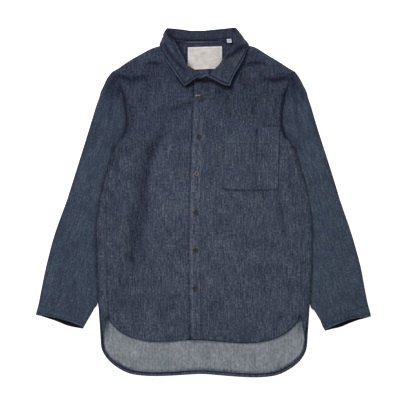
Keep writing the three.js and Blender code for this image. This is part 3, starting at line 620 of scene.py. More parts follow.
yoke, points = fine_copy("yoke_facing", "yoke_facing_panel", 3)
x, y, _ = points.T
points[:, 2] += uneven(x, y, (0.12, 16, 11, 31), (0.08, 6, 9, 32))
points[:, 1] += shoulder_lift(x, y)
settle(yoke, points, x, y)
NECK_SEAM = [(-76, 409), (-34, 406.2), (16, 406.8), (58, 410.5)]
below_seam = beside_line(x, y, NECK_SEAM)[0]
# Below the neck seam a paler and a darker line; painted shade in front, where the stand's ends leave a
# gap, and round the size tab
tone = 0.04 * value_noise(x / 20, y / 20, 33) + 0.75 * bell(below_seam, 5, 1.7)
tone -= 0.45 * bell(below_seam, 9, 2) + 3 * ramp(-y, -322, -318) * bell(x, 0, 17, 4)
set_tone(yoke, tone - 0.8 * bell(off_tab(x, y), 0, 2.5))
dressed(yoke, ["yoke_facing"], "denim", yoke_denim)


# Fronts: the wearer's right front goes under, the left one lies on top of it and of the back
# all round; both are loose panels of face-side denim with a narrow turned hem
def seam_tones(x, y):
    """Painted highlights on the ridges along the side seams, and the painted shade that runs down the
    armholes.
    """
    tone = np.zeros(x.shape)
    for number, line in enumerate((SIDE_LINE, other_side(SIDE_LINE))):
        depth = inward(x, y, line)
        wear_and_highlight = 1 + 0.7 * value_noise(y / 7, depth / 5, 52 + number)
        ridges = bell(depth, -3.5, 1.8) + bell(depth, 7, 1.6)
        tone += 0.24 * wear_and_highlight * ridges - 0.12 * bell(depth, 2, 2.2)
    for line in (ARMHOLE_LINE, other_side(ARMHOLE_LINE)):
        depth = np.abs(inward(x, y, line))
        share = ramp(y, 150, 178) * ramp(-y, -292, -262)
        tone -= share * (1.15 * bell(depth, 0, 4.2) + 0.32 * bell(depth, 0, 12))
        tone -= 0.25 * bell(depth, 0, 3)
    return tone


def front_panel(node, name):
    front, points = fine_copy(node, name, 3)
    x, y, _ = points.T.copy()
    points[:, 1] += shoulder_lift(x, y) + 1.5 * bell(x, -80, 48, 4) * ramp(-y, 330, 346)
    points[:, 2] += lay(x, y)
    settle(front, points, x, y)
    # The body's painted shade and light, the painted shade of the creases and the leaves' painted
    # shadows
    tone = spots(x, y, BODY_TONES) + crease_rise(x, y, CREASES)[1] + lined(x, y, LEAF_SHADOWS)
    tone += uneven(x, y, (0.07, 55, 80, 51), (0.05, 9, 60, 54))
    tone += seam_tones(x, y)
    # A painted shadow just beside the placket's edge
    tone -= 0.30 * bell(beside_line(x, y, shifted(PLACKET_EDGE, -1.5))[0], 0, 2.4)
    middle, edge_shade = (120, 1.15) if node.endswith("left") else (-120, 0.6)
    rim = beside_line(x, y, outline_of(x, y, middle, 20))[0]
    hem = ramp(-y, 268, 292)
    wear_and_highlight = 1 + 0.8 * value_noise(x / 7, y / 6, 53)
    # Along the hem's edge a painted shade, and a darker line along its stitching
    tone -= hem * (edge_shade * bell(rim, 0, 2.4) + 0.16 * bell(rim, 10, 2))
    # Painted shade in the vent notch at the side and under the foot of the placket
    tone += spots(np.abs(x), y, [(238, -287, 6, 6, -0.8)]) + spots(x, y, [(-34, -341, 4, 4, -2)])
    tone -= 0.9 * bell(x, -18, 15, 6) * ramp(-y, 341, 344)
    # A paler band on the rolled hem: painted light on its ridge
    tone += hem * 0.14 * wear_and_highlight * bell(rim, 5.5, 2.2)
    set_tone(front, tone)
    dressed(front, [node], "denim", body_denim)
    return front


front_right = front_panel("front_right", "front_right_panel")
front_left = front_panel("front_left", "front_left_panel")


# Placket: a folded strip 29 mm wide down the edge of the left front, stitched along both sides
placket, points = fine_copy("placket", "placket_strip", 3)
x, y, _ = points.T.copy()
distance, _, along, _ = beside_line(x, y, PLACKET_EDGE)
points[:, 2] += lay(x, y) - 1.7 * ramp(distance, 24.5, 28.5)
points[:, 0] += 4.0 * ramp(distance, 19, 29) * ramp(y, 40, 120)
settle(placket, points, x, y)
# The body's painted shade and light and the leaves' painted shadows; darker towards the collar
tone = spots(x, y, BODY_TONES) + lined(x, y, LEAF_SHADOWS) + 0.15 - 0.18 * ramp(y, 230, 300)
tone += 0.26 * (ladder(x, y) - 0.45) * ramp(-y, 240, 256)
# A paler band inside the left edge, a painted shadow line at that edge, and a darker line 14 mm in
tone += 0.24 * bell(distance, 5, 3) * (1 + 0.7 * value_noise(along / 7, x / 4, 61))
tone -= 0.30 * bell(distance, 0, 1.6) + 0.14 * bell(distance, 14, 3)
# Painted shade in the notch and under the placket's foot
tone += spots(x, y, [(-33, -338, 4, 4, -2.4)]) - 1.5 * bell(np.minimum(y + 343, 60), 0, 1.8)
faded = 0.5 + 0.5 * value_noise(along / 9, x / 8, 62)
tone += 0.15 * bell(distance, 29, 2.5) * ramp(y, 90, 120)
set_tone(placket, tone, 0.3 * faded * bell(distance, 1.4, 1.2))
dressed(placket, ["placket"], "denim", body_denim)


# Chest pocket: a plain patch on the left front with a turned top hem and a pen slot, its
# three other edges turned under and stitched down
def inside_box(x, y, left, right, bottom, top):
    return np.minimum(np.minimum(x - left, right - x), np.minimum(y - bottom, top - y))


pocket, points = fine_copy("pocket", "chest_pocket", 3)
x, y, _ = points.T.copy()
loose = ramp(y, 30, 60) * ramp(-y, -186, -160)
points[:, 2] += lay(x, y) + 0.3 * value_noise(x / 22, y / 24, 71) * loose
settle(pocket, points, x + 400, y + 13)
edge_in = inside_box(x, y, 50, 186.5, 33, 190)
# Lines on the pocket (points, half width, amount): painted shade in the pen slot's mouth and under the
# lower edge, and darker and paler lines along the slot, hem and sides
POCKET_LINES = [
    ([(131.5, 189), (131, 168)], 2.6, -1.0), ([(131, 168), (129.5, 56)], 1.8, -0.35),
    ([(53, 147.5), (187, 147.5)], 1.6, -0.22), ([(53, 151), (187, 151)], 1.6, 0.16),
    ([(53, 186), (187, 186)], 1.8, 0.14), ([(49, 33.5), (116, 29.5), (183, 33.5)], 2.0, -0.5),
    ([(54.5, 186), (50.5, 37)], 1.6, 0.14), ([(186, 186), (181, 37)], 1.6, 0.18),
]
tone = spots(x, y, BODY_TONES) + lined(x, y, POCKET_LINES) + 0.04
tone += 0.06 * bell(edge_in, 0, 2.2) * (1 + value_noise(x / 6, y / 6, 72))
# Painted shade along the pocket's outline
tone -= 0.55 * bell(edge_in, 0, 1.2)
set_tone(pocket, tone, 0.3 * (0.5 + 0.5 * value_noise(x / 7, y / 7, 73)) * bell(edge_in, 2, 1.2))
dressed(pocket, ["pocket"], "denim", body_denim)


# Sleeves: flat tubes of denim turned down beside the body, their upper ends under the armhole
# seam, with soft folds where the arm would bend
# Folds of the sleeves, in the columns of CREASES: the last is the painted shade along each fold
SLEEVE_CREASES = [
    ([(221, 304), (229, 258), (234, 208), (241, 176)], 5, 6, -0.9, -0.36),
    ([(262, 228), (276, 192), (286, 156)], 7, 7, -0.7, -0.20),
    ([(286, 150), (292, 128)], 6, 6, -0.5, -0.18),
    ([(232, 285), (262, 230), (284, 150), (300, 60)], 12, 9, 0.9, 0.03),
    ([(214, 250), (226, 205), (240, 150)], 7, 8, 0.9, 0.04),
    ([(218, 300), (236, 262), (250, 225)], 7, 9, -0.6, -0.14),
    ([(236, 190), (262, 165), (290, 150)], 6, 7, -0.7, -0.06),
    ([(300, 20), (318, -30), (336, -60)], 8, 10, 0.8, 0.03),
    ([(348, -56), (318, -84), (286, -98)], 7, 8, 1.0, 0.02),
    ([(352, -84), (322, -108), (292, -120)], 6, 6, -0.8, -0.07),
    ([(356, -112), (372, -170), (384, -228)], 9, 8, 0.9, 0.03),
    ([(272, -60), (284, -130), (296, -200)], 8, 10, 0.7, 0.02),
    ([(322, -150), (330, -200), (334, -250)], 8, 8, 0.6, 0.02),
    ([(252, 60), (262, 10), (270, -40)], 8, 9, 0.7, 0.02),
    ([(300, 100), (322, 60), (338, 10)], 7, 6, -0.6, -0.05),
]
SLEEVE_OUTER_EDGE = [
    (226, 326), (257, 273), (281, 197), (309, 107), (337.5, 17), (369, -73), (392.5, -163),
    (411, -255.5),
]
SLEEVE_INNER_EDGE = [
    (225, 142), (236, 105), (251, 57), (264, -2), (271, -48), (271, -98), (268, -188), (266, -247),
    (289, -292),
]


def along_arm(x, y, sign):
    """The cloth's directions in a sleeve, which hangs 15 degrees out from the body."""
    turn = math.radians(15 * sign)
    return x * math.cos(turn) + y * math.sin(turn), y * math.cos(turn) - x * math.sin(turn)


def sleeve_piece(node, name, creases, seed, sign, head_rise, low_rise, wrist_reach, notch, notch_reach,
                 paler, inner_shade, inner_glow):
    sleeve, points = fine_copy(node, name, 3)
    x, y, z = points.T.copy()
    across = x * sign
    rise, tone = crease_rise(across, y, creases)
    armhole, _, along, _ = beside_line(across, y, other_side(ARMHOLE_LINE))
    rise += 0.55 * value_noise(along / 12, armhole / 30, seed) * bell(armhole, 0, 13)
    rise += uneven(x, y, (0.35, 30, 44, seed + 1), (0.22, 12, 16, seed + 2))
    points[:, 0] -= 1.6 * sign * bell(armhole, 0, 5)
    outer = beside_line(across, y, SLEEVE_OUTER_EDGE)[0]
    fuller = bell(outer, 0, 16) * ramp(y, -262, -225)
    head = head_rise * bell(y, 306, 20)
    lower = ramp(-y, -40, 120) * (1 - ramp(-y, 150, 230) * (sign > 0))
    side = 0.4 + low_rise * lower + 0.8 * ramp(-y, -270, -230) * ramp(y, 5, 30)
    points[:, 0] += sign * (side + head) * fuller
    bulge = bell(outer, 0, 16) * bell(y, 277, 13)
    points[:, 0] += sign * 2.2 * bulge
    points[:, 1] += 1.0 * bulge + shoulder_lift(x, y)
    points[:, 0] += sign * wrist_reach * bell(outer, 0, 18) * bell(y, -258, 18)
    points[:, 1] += (0.4 + head) * fuller
    points[:, 1] -= notch * bell(across, 267, 13) * bell(y, -248, notch_reach)
    points[:, 2] += rise * ramp(z, 2.2, 3.6)
    settle(sleeve, points, *along_arm(x, y, sign))
    tone += 0.05 * value_noise(x / 60, y / 80, seed + 3) + paler
    # Painted shade down the armhole seam, near the armhole and over the heads of the sleeves
    tone -= 0.75 * bell(armhole, 0, 4.5) * ramp(y, 150, 180) * ramp(-y, -306, -282)
    tone -= 0.22 * bell(armhole, 0, 24) + 0.22 * ramp(y, 230, 300)
    inner = beside_line(across, y, SLEEVE_INNER_EDGE)[0]
    on_head = ramp(y, 245, 275)
    # Painted shade along the folded outer edge and in a fold on the head; painted light and the painted
    # shadow of the body's edge beside the inner edge
    tone -= (0.38 - 0.3 * on_head) * bell(outer, 0, 4) + 0.08 * bell(outer, 8, 3)
    tone -= 0.42 * on_head * bell(outer, 14, 5)
    tone += inner_glow * bell(inner, 5, 4) - inner_shade * bell(inner, 0, 4)
    set_tone(sleeve, tone)
    dressed(sleeve, [node], "denim", sleeve_denim)
    return sleeve


RIGHT_ARM_CREASES = SLEEVE_CREASES + [
    ([(252, 226), (265, 182), (279, 128)], 8, 8, -0.9, -0.28),
    ([(212, 286), (216, 262)], 6, 6, -0.6, -0.6),
]
sleeve_right = sleeve_piece(
    "sleeve_right", "sleeve_right_tube", RIGHT_ARM_CREASES, 81, sign=-1, head_rise=3.4, low_rise=2.4,
    wrist_reach=2.8, notch=8, notch_reach=11, paler=0.0, inner_shade=0.30, inner_glow=0.0,
)
sleeve_left = sleeve_piece(
    "sleeve_left", "sleeve_left_tube", SLEEVE_CREASES, 86, sign=1, head_rise=2.2, low_rise=3.0,
    wrist_reach=0.0, notch=13, notch_reach=17, paler=0.08, inner_shade=0.05, inner_glow=0.10,
)


# Cuffs: plain bands of two layers round the ends of the sleeves, standing a little open
CUFF_MOUTH = [(413, -281), (290, -314)]


def cuff_piece(node, name, mouth_line, seed, sign, fullest, lift, outward, fading):
    cuff, points = fine_copy(node, name, 3)
    x, y, z = points.T.copy()
    points[:, 2] += uneven(x, y, (0.25, 14, 12, seed), (0.12, 6, 7, seed + 1)) * ramp(z, 3.4, 5.6)
    mouth, _, along, length = beside_line(x * sign, y, CUFF_MOUTH)
    free = ramp(-mouth, -20, -6)
    gape = free * bell(along / length, fullest, 0.27)
    upper = ramp(z, 3.0, 4.4)
    points[:, 1] += lift * gape * upper - 2.6 * gape * (1 - upper) + 1.0 * ramp(mouth, 16, 24)
    corner = bell(x * sign, 414, 24) * ramp(mouth, -1, 4) * (1 - fading * ramp(mouth, 6, 24))
    points[:, 0] += sign * outward * corner
    points[:, 1] += free * np.interp(x * sign, *zip(*mouth_line))
    settle(cuff, points, *along_arm(x, y, sign))
    # The lower layer is painted almost black, the painted shade inside the cuff's open mouth, also on
    # its underside; darker lines at 6 and 24 mm
    tone = 0.06 * value_noise(x / 8, y / 8, seed + 2) - 2.6 * (1 - upper)
    tone -= 0.35 * upper * bell(mouth, 6, 1.8) + 0.25 * bell(mouth, 24, 2)
    worn = 0.6 + 0.4 * value_noise(along / 8, mouth / 4, seed + 3)
    set_tone(cuff, tone, 0.75 * worn * upper * bell(mouth, 0, 2.2))
    dressed(cuff, [node], "denim", sleeve_denim)
    return cuff


RIGHT_MOUTH = [(285, 1), (310, 1.2), (345, 1.1), (358, 2.2), (372, 2.7), (405, 2.3), (415, 0)]
LEFT_MOUTH = [(285, -3.6), (305, -4.6), (320, -3), (345, -2.2), (362, -0.5), (384, -0.6), (412, -3.4)]
cuff_right = cuff_piece("cuff_right", "cuff_right_band", RIGHT_MOUTH, 91, sign=-1,
                        fullest=0.68, lift=3.4, outward=4.4, fading=0.3)
cuff_left = cuff_piece("cuff_left", "cuff_left_band", LEFT_MOUTH, 95, sign=1,
                       fullest=0.62, lift=1.6, outward=2.4, fading=0.9)


# Collar: a stand that rises from the neck seam and a leaf that rolls over it, both interlined
# denim, the leaf's points spread over the fronts

# Sags and bulges of its outline: a place up the shirt (across it in TOP_EDGE), and how far
RIGHT_BULGE = [(388, -4), (394, -4), (399, -1.3), (404, 0.5), (409, 0), (414, -2.5), (419, -4.3),
               (429, -3.2), (435, -5.2)]
LEFT_BULGE = [(388, 2), (394, 1.6), (399, -0.8), (404, -2), (407, -3.1), (412, -1.9), (417, 0.9),
              (422, 0.7), (429, -1.4), (435, -1.2)]
TOP_EDGE = [(-95, 1), (-85, 0.8), (-52, 0), (-35, -1.5), (-17, -0.6), (0, -0.3), (18, 1.2), (35, 2),
            (70, 2.3), (80, 1.5), (90, -1)]


def collar_drape(x, y):
    """How far the collar's outline lies sideways and up from the part's, in millimetres."""
    sideways = ramp(-x, 70, 94) * np.interp(y, *zip(*RIGHT_BULGE))
    sideways += ramp(x, 76, 98) * np.interp(y, *zip(*LEFT_BULGE))
    sideways += spots(x, y, [(36, 344, 12, 15, 3.6), (-38, 345, 12, 13, -6.2)])
    up = ramp(y, 405, 424) * np.interp(x, *zip(*TOP_EDGE))
    return sideways, up


stand, points = fine_copy("collar_stand", "collar_stand_band", 3)
x, y, _ = points.T.copy()
sideways, up = collar_drape(x, y)
points[:, 0] += sideways
points[:, 1] += up
settle(stand, points, x, y)
# Painted shade in the folds where the leaf rolls over the stand: points, half width and amount
ROLL_FOLDS = [
    ([(-90, 431), (-85, 420), (-78, 407)], 4.4, -2.4), ([(73, 434), (79, 420)], 2.6, -1.0),
    ([(-77, 425), (-74, 419)], 2.4, -0.6), ([(70, 430), (74, 424)], 2.4, -0.5),
]
tone = uneven(x, y, (0.04, 10, 10, 101), (0.16, 3.6, 3, 108)) - 0.08
tone += lined(x, y, ROLL_FOLDS)
# A dark line along the neck seam; painted shade round the size tab, and black painted shade in front
# below the stand's ends
tone -= 0.85 * bell(beside_line(x, y, NECK_SEAM)[0], 0, 1.7)
tone -= 0.9 * bell(off_tab(x, y), 0, 2.5) + 2.4 * ramp(-y, -314, -310) * bell(x, 0, 15, 4)
front_edge = beside_line(x, y, [(-13, 311.5), (-2, 316.5), (10, 319)])[0]
set_tone(stand, tone, 0.9 * bell(front_edge, 0, 2.0))
dressed(stand, ["collar_stand"], "denim", collar_denim)

# The stand's two ends meet in front of the neck: a short doubled band with a worn top edge, and below it
# a strip painted black as the shade of the gap
columns, rows = 25, 14
grid = np.meshgrid(np.linspace(-14.5, 12, columns), np.linspace(-0.5, 1, rows))
x, v = [values.ravel() for values in grid]
worn_edge = np.interp(x, [-14.5, -7.2, -3.4, 2.7, 9.6, 12], [310.2, 310.6, 313.6, 316.6, 318, 318])
lowest = np.interp(x, [-14.5, -8, 3, 12], [308.6, 304.4, 306.8, 310.4])
y = np.where(v < 0, worn_edge + 2 * v * (worn_edge - lowest), worn_edge + v * (333 - worn_edge))
z = np.where(v < 0, 10.9, 11 - 4.6 * v) + 0.3 * value_noise(x / 7, y / 6, 107)
faces = [(j * columns + i, j * columns + i + 1, (j + 1) * columns + i + 1, (j + 1) * columns + i)
         for j in range(rows - 1) for i in range(columns - 1)]
end_mesh = bpy.data.meshes.new("stand_front_end")
points = np.stack([x, y, z], 1)
end_mesh.from_pydata((points * MM).tolist(), [], faces)
stand_end = placed("stand_front_end", end_mesh)
settle(stand_end, points, x, y)
# Below the worn edge the strip is painted shade, almost black; darker lines across the band and at its
# back edge
tone = np.where(v < -0.04, -4.0, 0.1) - 0.9 * bell(v, 0.24, 0.09) - 1.6 * ramp(v, 0.86, 1)
set_tone(stand_end, tone, 0.8 * bell(v, 0.05, 0.1) * (v > -0.04))
doubled = stand_end.modifiers.new("doubled", "SOLIDIFY")
doubled.thickness = 1.4 * MM
dressed(stand_end, [], "denim", collar_denim)

LEAF_EDGE_RIGHT = [
    (-8.5, 319), (-48, 291.5), (-58.5, 304), (-75, 329), (-93.5, 359), (-105, 380.5), (-108, 396),
]
LEAF_EDGE_LEFT = [
    (13, 317), (63.5, 290.5), (73, 310.5), (84, 333), (95, 354), (106.5, 377), (108, 396),
]
leaf, points = fine_copy("collar_leaf", "collar_leaf_band", 4)
x, y, _ = points.T.copy()
points[:, 2] += uneven(x, y, (0.35, 18, 22, 103), (0.15, 8, 9, 104))
right_edge, _, right_along, _ = beside_line(x, y, LEAF_EDGE_RIGHT)
left_edge, _, left_along, _ = beside_line(x, y, LEAF_EDGE_LEFT)
points[:, 2] += 3.0 * bell(np.minimum(right_edge, left_edge), 0, 15) * ramp(-y, -392, -366)
sideways, up = collar_drape(x, y)
front_left_edge = beside_line(x, y, LEAF_EDGE_LEFT[:2])[0]
points[:, 0] += sideways - 1.8 * bell(left_edge, 0, 8) * ramp(y, 296, 304) * ramp(-y, -345, -320)
points[:, 1] += up - 3.5 * bell(front_left_edge, 0, 9) * ramp(x, 6, 14) * ramp(-x, -62, -50)
points[:, 1] += spots(x, y, [(-9, 319, 9, 9, -2.6)])
points[:, 0] += spots(x, y, [(108, 394, 14, 9, 2.6), (108, 417, 14, 9, -2.6)])
turn = np.radians(32) * np.tanh(x / 30)
settle(leaf, points, x * np.cos(turn) + y * np.sin(turn), y * np.cos(turn) - x * np.sin(turn))
# Lines on the leaves (points, half width, amount): painted highlights on the rolls and painted shade in
# the bands beside them
LEAF_LINES = [
    ([(-66, 386), (-58, 370), (-48, 352), (-36, 340)], 2.2, 0.30),
    ([(-97, 400), (-86, 377), (-73, 356), (-60, 342), (-47, 332)], 4.2, -0.75),
    ([(-89, 400), (-78, 377), (-65, 353)], 2.6, 0.24),
    ([(-82, 406), (-72, 386), (-61, 364)], 2.4, -0.4),
    ([(99, 393), (86, 381), (70, 369), (54, 360)], 4.8, -0.95),
    ([(94, 398), (80, 388), (62, 376)], 3.0, 0.16), ([(30, 352), (42, 362), (52, 372)], 2.0, 0.15),
]
tone = uneven(x, y, (0.06, 14, 14, 105), (0.10, 4, 4, 109)) - 0.12
tone += 0.26 * ramp(x, 0, 40) * ramp(-y, -388, -360)
tone += lined(x, y, LEAF_LINES) + lined(x, y, ROLL_FOLDS)
wear_and_highlight = np.zeros(x.shape)
for distance, along, amount in ((right_edge, right_along, 0.6), (left_edge, left_along, 0.8)):
    rub = 0.7 + 0.3 * value_noise(along / 8, distance / 9, 106)
    wear_and_highlight += amount * rub * bell(distance, 0, 1.7)
    tone -= 0.95 * bell(distance, 4.6, 1.5)
    tone += 0.16 * bell(distance, 8.5, 2.4)
set_tone(leaf, tone, wear_and_highlight)
dressed(leaf, ["collar_leaf"], "denim", collar_denim)


# Label and size tab: a woven cotton patch sewn to the yoke and a small tab in the neck seam,
# both left bare
def label_material(name, shade, ground):
    material, tree, shader = new_material(name)
    place = add_node(tree, "ShaderNodeTexCoord").outputs["Object"]
    weave = add_node(tree, "ShaderNodeTexNoise", {"Vector": place, "Scale": 420, "Detail": 2})
    weave = weave.outputs["Fac"]
    cloud = add_node(tree, "ShaderNodeTexNoise", {"Vector": place, "Scale": 60}).outputs["Fac"]
    both = add_node(tree, "ShaderNodeMath", {0: weave, 1: 0.8, 2: cloud}, operation="MULTIPLY_ADD")
    toned = add_node(tree, "ShaderNodeMath", {0: both.outputs[0], 1: painted_value(tree, "tone")})
    feed(tree, shader, {"Base Color": mixed(tree, toned.outputs[0], shade, ground), "Roughness": 0.88,
                        "Specular IOR Level": 0.2, "Normal": relief(tree, weave, 0.0002)})
    return material


label, points = fine_copy("label", "neck_label", 3)
x, y, _ = points.T.copy()
edge_in = inside_box(x, y, -41.5, 45, 333, 392)
points[:, 2] += 0.25 * value_noise(x / 14, y / 12, 111) - 0.1 * bell(edge_in, 0, 3)
points[:, 1] -= ramp(y, 365, 394) * (4.3 - 0.03 * (x + 41.5))
points[:, 1] += 1.4 * ramp(-y, -345, -333) * ramp(x, -10, 15)
points[:, 0] += 1.6 * ramp(-x, 20, 41) + 0.8 * ramp(-x, 20, 41) * ramp(-y, -360, -340)
clipped = spots(x, y, [(-33, 343, 9, 9, 3.4)])
points[:, 0] -= clipped
points[:, 1] -= clipped
settle(label, points)
tone = 0.36 * bell(edge_in, 0, 3.5) - 0.40 + 0.10 * value_noise(x / 9, y / 3.2, 112)
set_tone(label, tone - 0.12 * bell(edge_in, 5, 1.3))
cotton = label_material("label_cotton", srgb(170, 163, 158), srgb(222, 218, 213))
dressed(label, ["label"], "label_cloth", cotton)

tab, points = fine_copy("size_tab", "size_tab_loop", 2)
x, y, _ = points.T.copy()
points[:, 0] = 63.1 + (x - 63) * 0.71 - 0.15 * (y - 404.5)
points[:, 1] = 403.6 + (y - 404.5) * 0.92 + 0.03 * (x - 63)
settle(tab, points)
set_tone(tab, spots(points[:, 0], points[:, 1], [(63.2, 404.2, 3, 2.2, -0.9)]) - 0.02)
tape = label_material("tab_tape", srgb(128, 138, 158), srgb(204, 211, 226))
dressed(tab, ["size_tab"], "label_cloth", tape)


# Buttons: six dark metal buttons down the placket, each with a raised rim round a dished
# middle and a small boss in it, on a shank sewn through the placket
def speckled(tree, scale, first, second):
    place = add_node(tree, "ShaderNodeTexCoord").outputs["Object"]
    speck = add_node(tree, "ShaderNodeTexNoise", {"Vector": place, "Scale": scale}).outputs["Fac"]
    return mixed(tree, speck, first, second)


button_metal, tree, shader = new_material("burnished_metal")
tarnish = speckled(tree, 900, srgb(6, 6, 7), srgb(34, 31, 29))
# A pale colour mixed in round the rims: worn bare metal and a painted highlight
bare_metal_and_highlight = mixed(tree, painted_value(tree, "wear_and_highlight"), tarnish, srgb(176, 170, 164))
feed(tree, shader, {"Base Color": bare_metal_and_highlight, "Metallic": 0.35, "Roughness": 0.42})

BUTTON_GAP = 0.5
PALE_RIM_BUTTON = 2  # the third from the top shines round its rim
BUTTON_PLACES = [(-6.8, 259), (-13, 164.8), (-17.5, 72.5), (-20.3, -24), (-21.8, -118), (-23, -213.5)]
BUTTON_OUTLINE = [
    (0, 0), (4.6, 0), (5.35, 0.25), (5.75, 0.8), (5.75, 1.4), (5.45, 2.0), (4.9, 2.4), (4.3, 2.4),
    (3.8, 2.1), (3.45, 1.5), (3.1, 1.2), (2.0, 1.15), (1.7, 1.5), (1.2, 1.75), (0, 1.8),
]


def turned(name, outline, segments):
    """A shape turned on a lathe: its outline as radius and height, in millimetres."""
    work = bmesh.new()
    rings = []
    for radius, height in outline:
        if radius == 0:
            rings.append([work.verts.new((0, 0, height * MM))])
            continue
        rings.append([
            work.verts.new((radius * MM * math.cos(2 * math.pi * k / segments),
                            radius * MM * math.sin(2 * math.pi * k / segments), height * MM))
            for k in range(segments)
        ])
    for low, high in zip(rings[:-1], rings[1:]):
        for k in range(segments):
            after = (k + 1) % segments
            corners = (low[k % len(low)], low[after % len(low)],
                       high[after % len(high)], high[k % len(high)])
            work.faces.new(list(dict.fromkeys(corners)))
    bmesh.ops.recalc_face_normals(work, faces=work.faces)
    mesh = bpy.data.meshes.new(name)
    work.to_mesh(mesh)
    work.free()
    mesh.polygons.foreach_set("use_smooth", [True] * len(mesh.polygons))
    return mesh


def surface_under(*pieces):
    """The pieces' meshes as one surface that a line from above can be laid on."""
    corners, faces = [], []
    for piece in pieces:
        start = len(corners)
        corners.extend(v.co.copy() for v in piece.data.vertices)
        faces.extend([start + i for i in polygon.vertices] for polygon in piece.data.polygons)
    return BVHTree.FromPolygons(corners, faces)


shirt_top = surface_under(
    back, yoke, front_right, front_left, placket, pocket, sleeve_right, sleeve_left, cuff_right,
    cuff_left, stand, stand_end, leaf, label,
)


def top_at(x, y):
    return shirt_top.ray_cast(Vector((x * MM, y * MM, 0.1)), Vector((0, 0, -1)))[0]


def geometry_tree(name, **kinds):
    """A geometry tree with named inputs, and their sockets."""
    tree = bpy.data.node_groups.new(name, "GeometryNodeTree")
    for socket, kind in {"Geometry": "Geometry", **kinds}.items():
        tree.interface.new_socket(
            socket.replace("_", " "), in_out="INPUT", socket_type="NodeSocket" + kind)
    tree.interface.new_socket("Geometry", in_out="OUTPUT", socket_type="NodeSocketGeometry")
    return tree, add_node(tree, "NodeGroupInput").outputs


def finish_tree(tree, copies, material, smooth=False):
    """Ends a geometry tree: the copies become real and get their material."""
    real = add_node(tree, "GeometryNodeRealizeInstances", {0: copies}).outputs[0]
    if smooth:
        real = add_node(tree, "GeometryNodeSetShadeSmooth", {"Geometry": real}).outputs[0]
    made = add_node(tree, "GeometryNodeSetMaterial", {"Geometry": real, "Material": material})
    add_node(tree, "NodeGroupOutput", {"Geometry": made.outputs[0]})
    return tree


def repeated_tree(name):
    """Geometry nodes that put one shape at every point of the object, and join the result."""
    tree, given = geometry_tree(name, Shape="Object", Turn_Step="Float", Finish="Material")
    shape = add_node(tree, "GeometryNodeObjectInfo", {"Object": given["Shape"]})
    number = add_node(tree, "GeometryNodeInputIndex").outputs[0]
    spin = add_node(tree, "ShaderNodeMath", {0: number, 1: given["Turn Step"]}, operation="MULTIPLY")
    turn = add_node(tree, "ShaderNodeCombineXYZ", {"Z": spin.outputs[0]})
    copies = add_node(tree, "GeometryNodeInstanceOnPoints", {
        "Points": given["Geometry"], "Instance": shape.outputs["Geometry"], "Rotation": turn.outputs[0]})
    return finish_tree(tree, copies.outputs[0], given["Finish"])


def grown(name, mesh, tree, values):
    """Runs a geometry tree on a mesh with its inputs set, and keeps the plain mesh it makes."""
    source = placed(name + "_source", mesh)
    modifier = source.modifiers.new("grow", "NODES")
    modifier.node_group = tree
    sockets = {item.name: item.identifier for item in tree.interface.items_tree
               if item.item_type == "SOCKET" and item.in_out == "INPUT"}
    for socket, value in values.items():
        modifier[sockets[socket]] = value
    evaluated = source.evaluated_get(bpy.context.evaluated_depsgraph_get())
    made = bpy.data.meshes.new_from_object(evaluated)
    made.name = name
    bpy.data.objects.remove(source)
    return placed(name, made)


button_points = bpy.data.meshes.new("button_points")
seats = [top_at(x, y) for x, y in BUTTON_PLACES]
button_points.from_pydata([(seat.x, seat.y, seat.z + BUTTON_GAP * MM) for seat in seats], [], [])
button_shape = placed("button_shape", turned("button_shape", BUTTON_OUTLINE, 40))
buttons = grown("placket_buttons", button_points, repeated_tree("buttons_on_placket"),
                {"Shape": button_shape, "Turn Step": 0.9, "Finish": button_metal})
bpy.data.objects.remove(button_shape)
x, y, z = points_of(buttons).T
# The pale rims, worn bare metal with a painted highlight, strongest on the third button
wear_and_highlight = np.zeros(x.shape)
for number, (button_x, button_y) in enumerate(BUTTON_PLACES):
    radius = np.hypot(x - button_x, y - button_y)
    wear_and_highlight += (0.42 if number == PALE_RIM_BUTTON else 0.05) * bell(radius, 4.2, 1.3, 4) * (radius < 6.5)
set_tone(buttons, np.zeros(x.shape), wear_and_highlight)
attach(buttons, "root")
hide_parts(*[f"button_{number}" for number in range(1, 7)])


# Stitching: lock stitches about 3 mm long in dark indigo thread, laid on the finished cloth
# 2 to 9 mm inside the edges, in pairs on the felled seams
thread, tree, shader = new_material("indigo_thread")
feed(tree, shader, {"Base Color": speckled(tree, 1500, srgb(34, 39, 54), srgb(60, 66, 82)),
                    "Roughness": 0.6})


def stitch_tree():
    """Geometry nodes that turn a line into a row of separate stitches along it."""
    tree, given = geometry_tree("row_of_stitches", Pitch="Float", Stitch_Length="Float",
                                Thread_Radius="Float", Thread="Material")
    line = add_node(tree, "GeometryNodeMeshToCurve", {"Mesh": given["Geometry"]}).outputs["Curve"]
    spaced = add_node(tree, "GeometryNodeCurveToPoints", {"Curve": line, "Length": given["Pitch"]},
                      mode="LENGTH").outputs
    bead = add_node(tree, "GeometryNodeMeshUVSphere", {"Segments": 6, "Rings": 4, "Radius": 1.0})
    half = add_node(tree, "ShaderNodeMath", {0: given["Stitch Length"], 1: 0.5}, operation="MULTIPLY")
    size = add_node(tree, "ShaderNodeCombineXYZ", {
        "X": given["Thread Radius"], "Y": given["Thread Radius"], "Z": half.outputs[0]})
    copies = add_node(tree, "GeometryNodeInstanceOnPoints", {
        "Points": spaced["Points"], "Rotation": spaced["Rotation"],
        "Instance": bead.outputs["Mesh"], "Scale": size.outputs[0]})
    return finish_tree(tree, copies.outputs[0], given["Thread"], smooth=True)


stitches = stitch_tree()


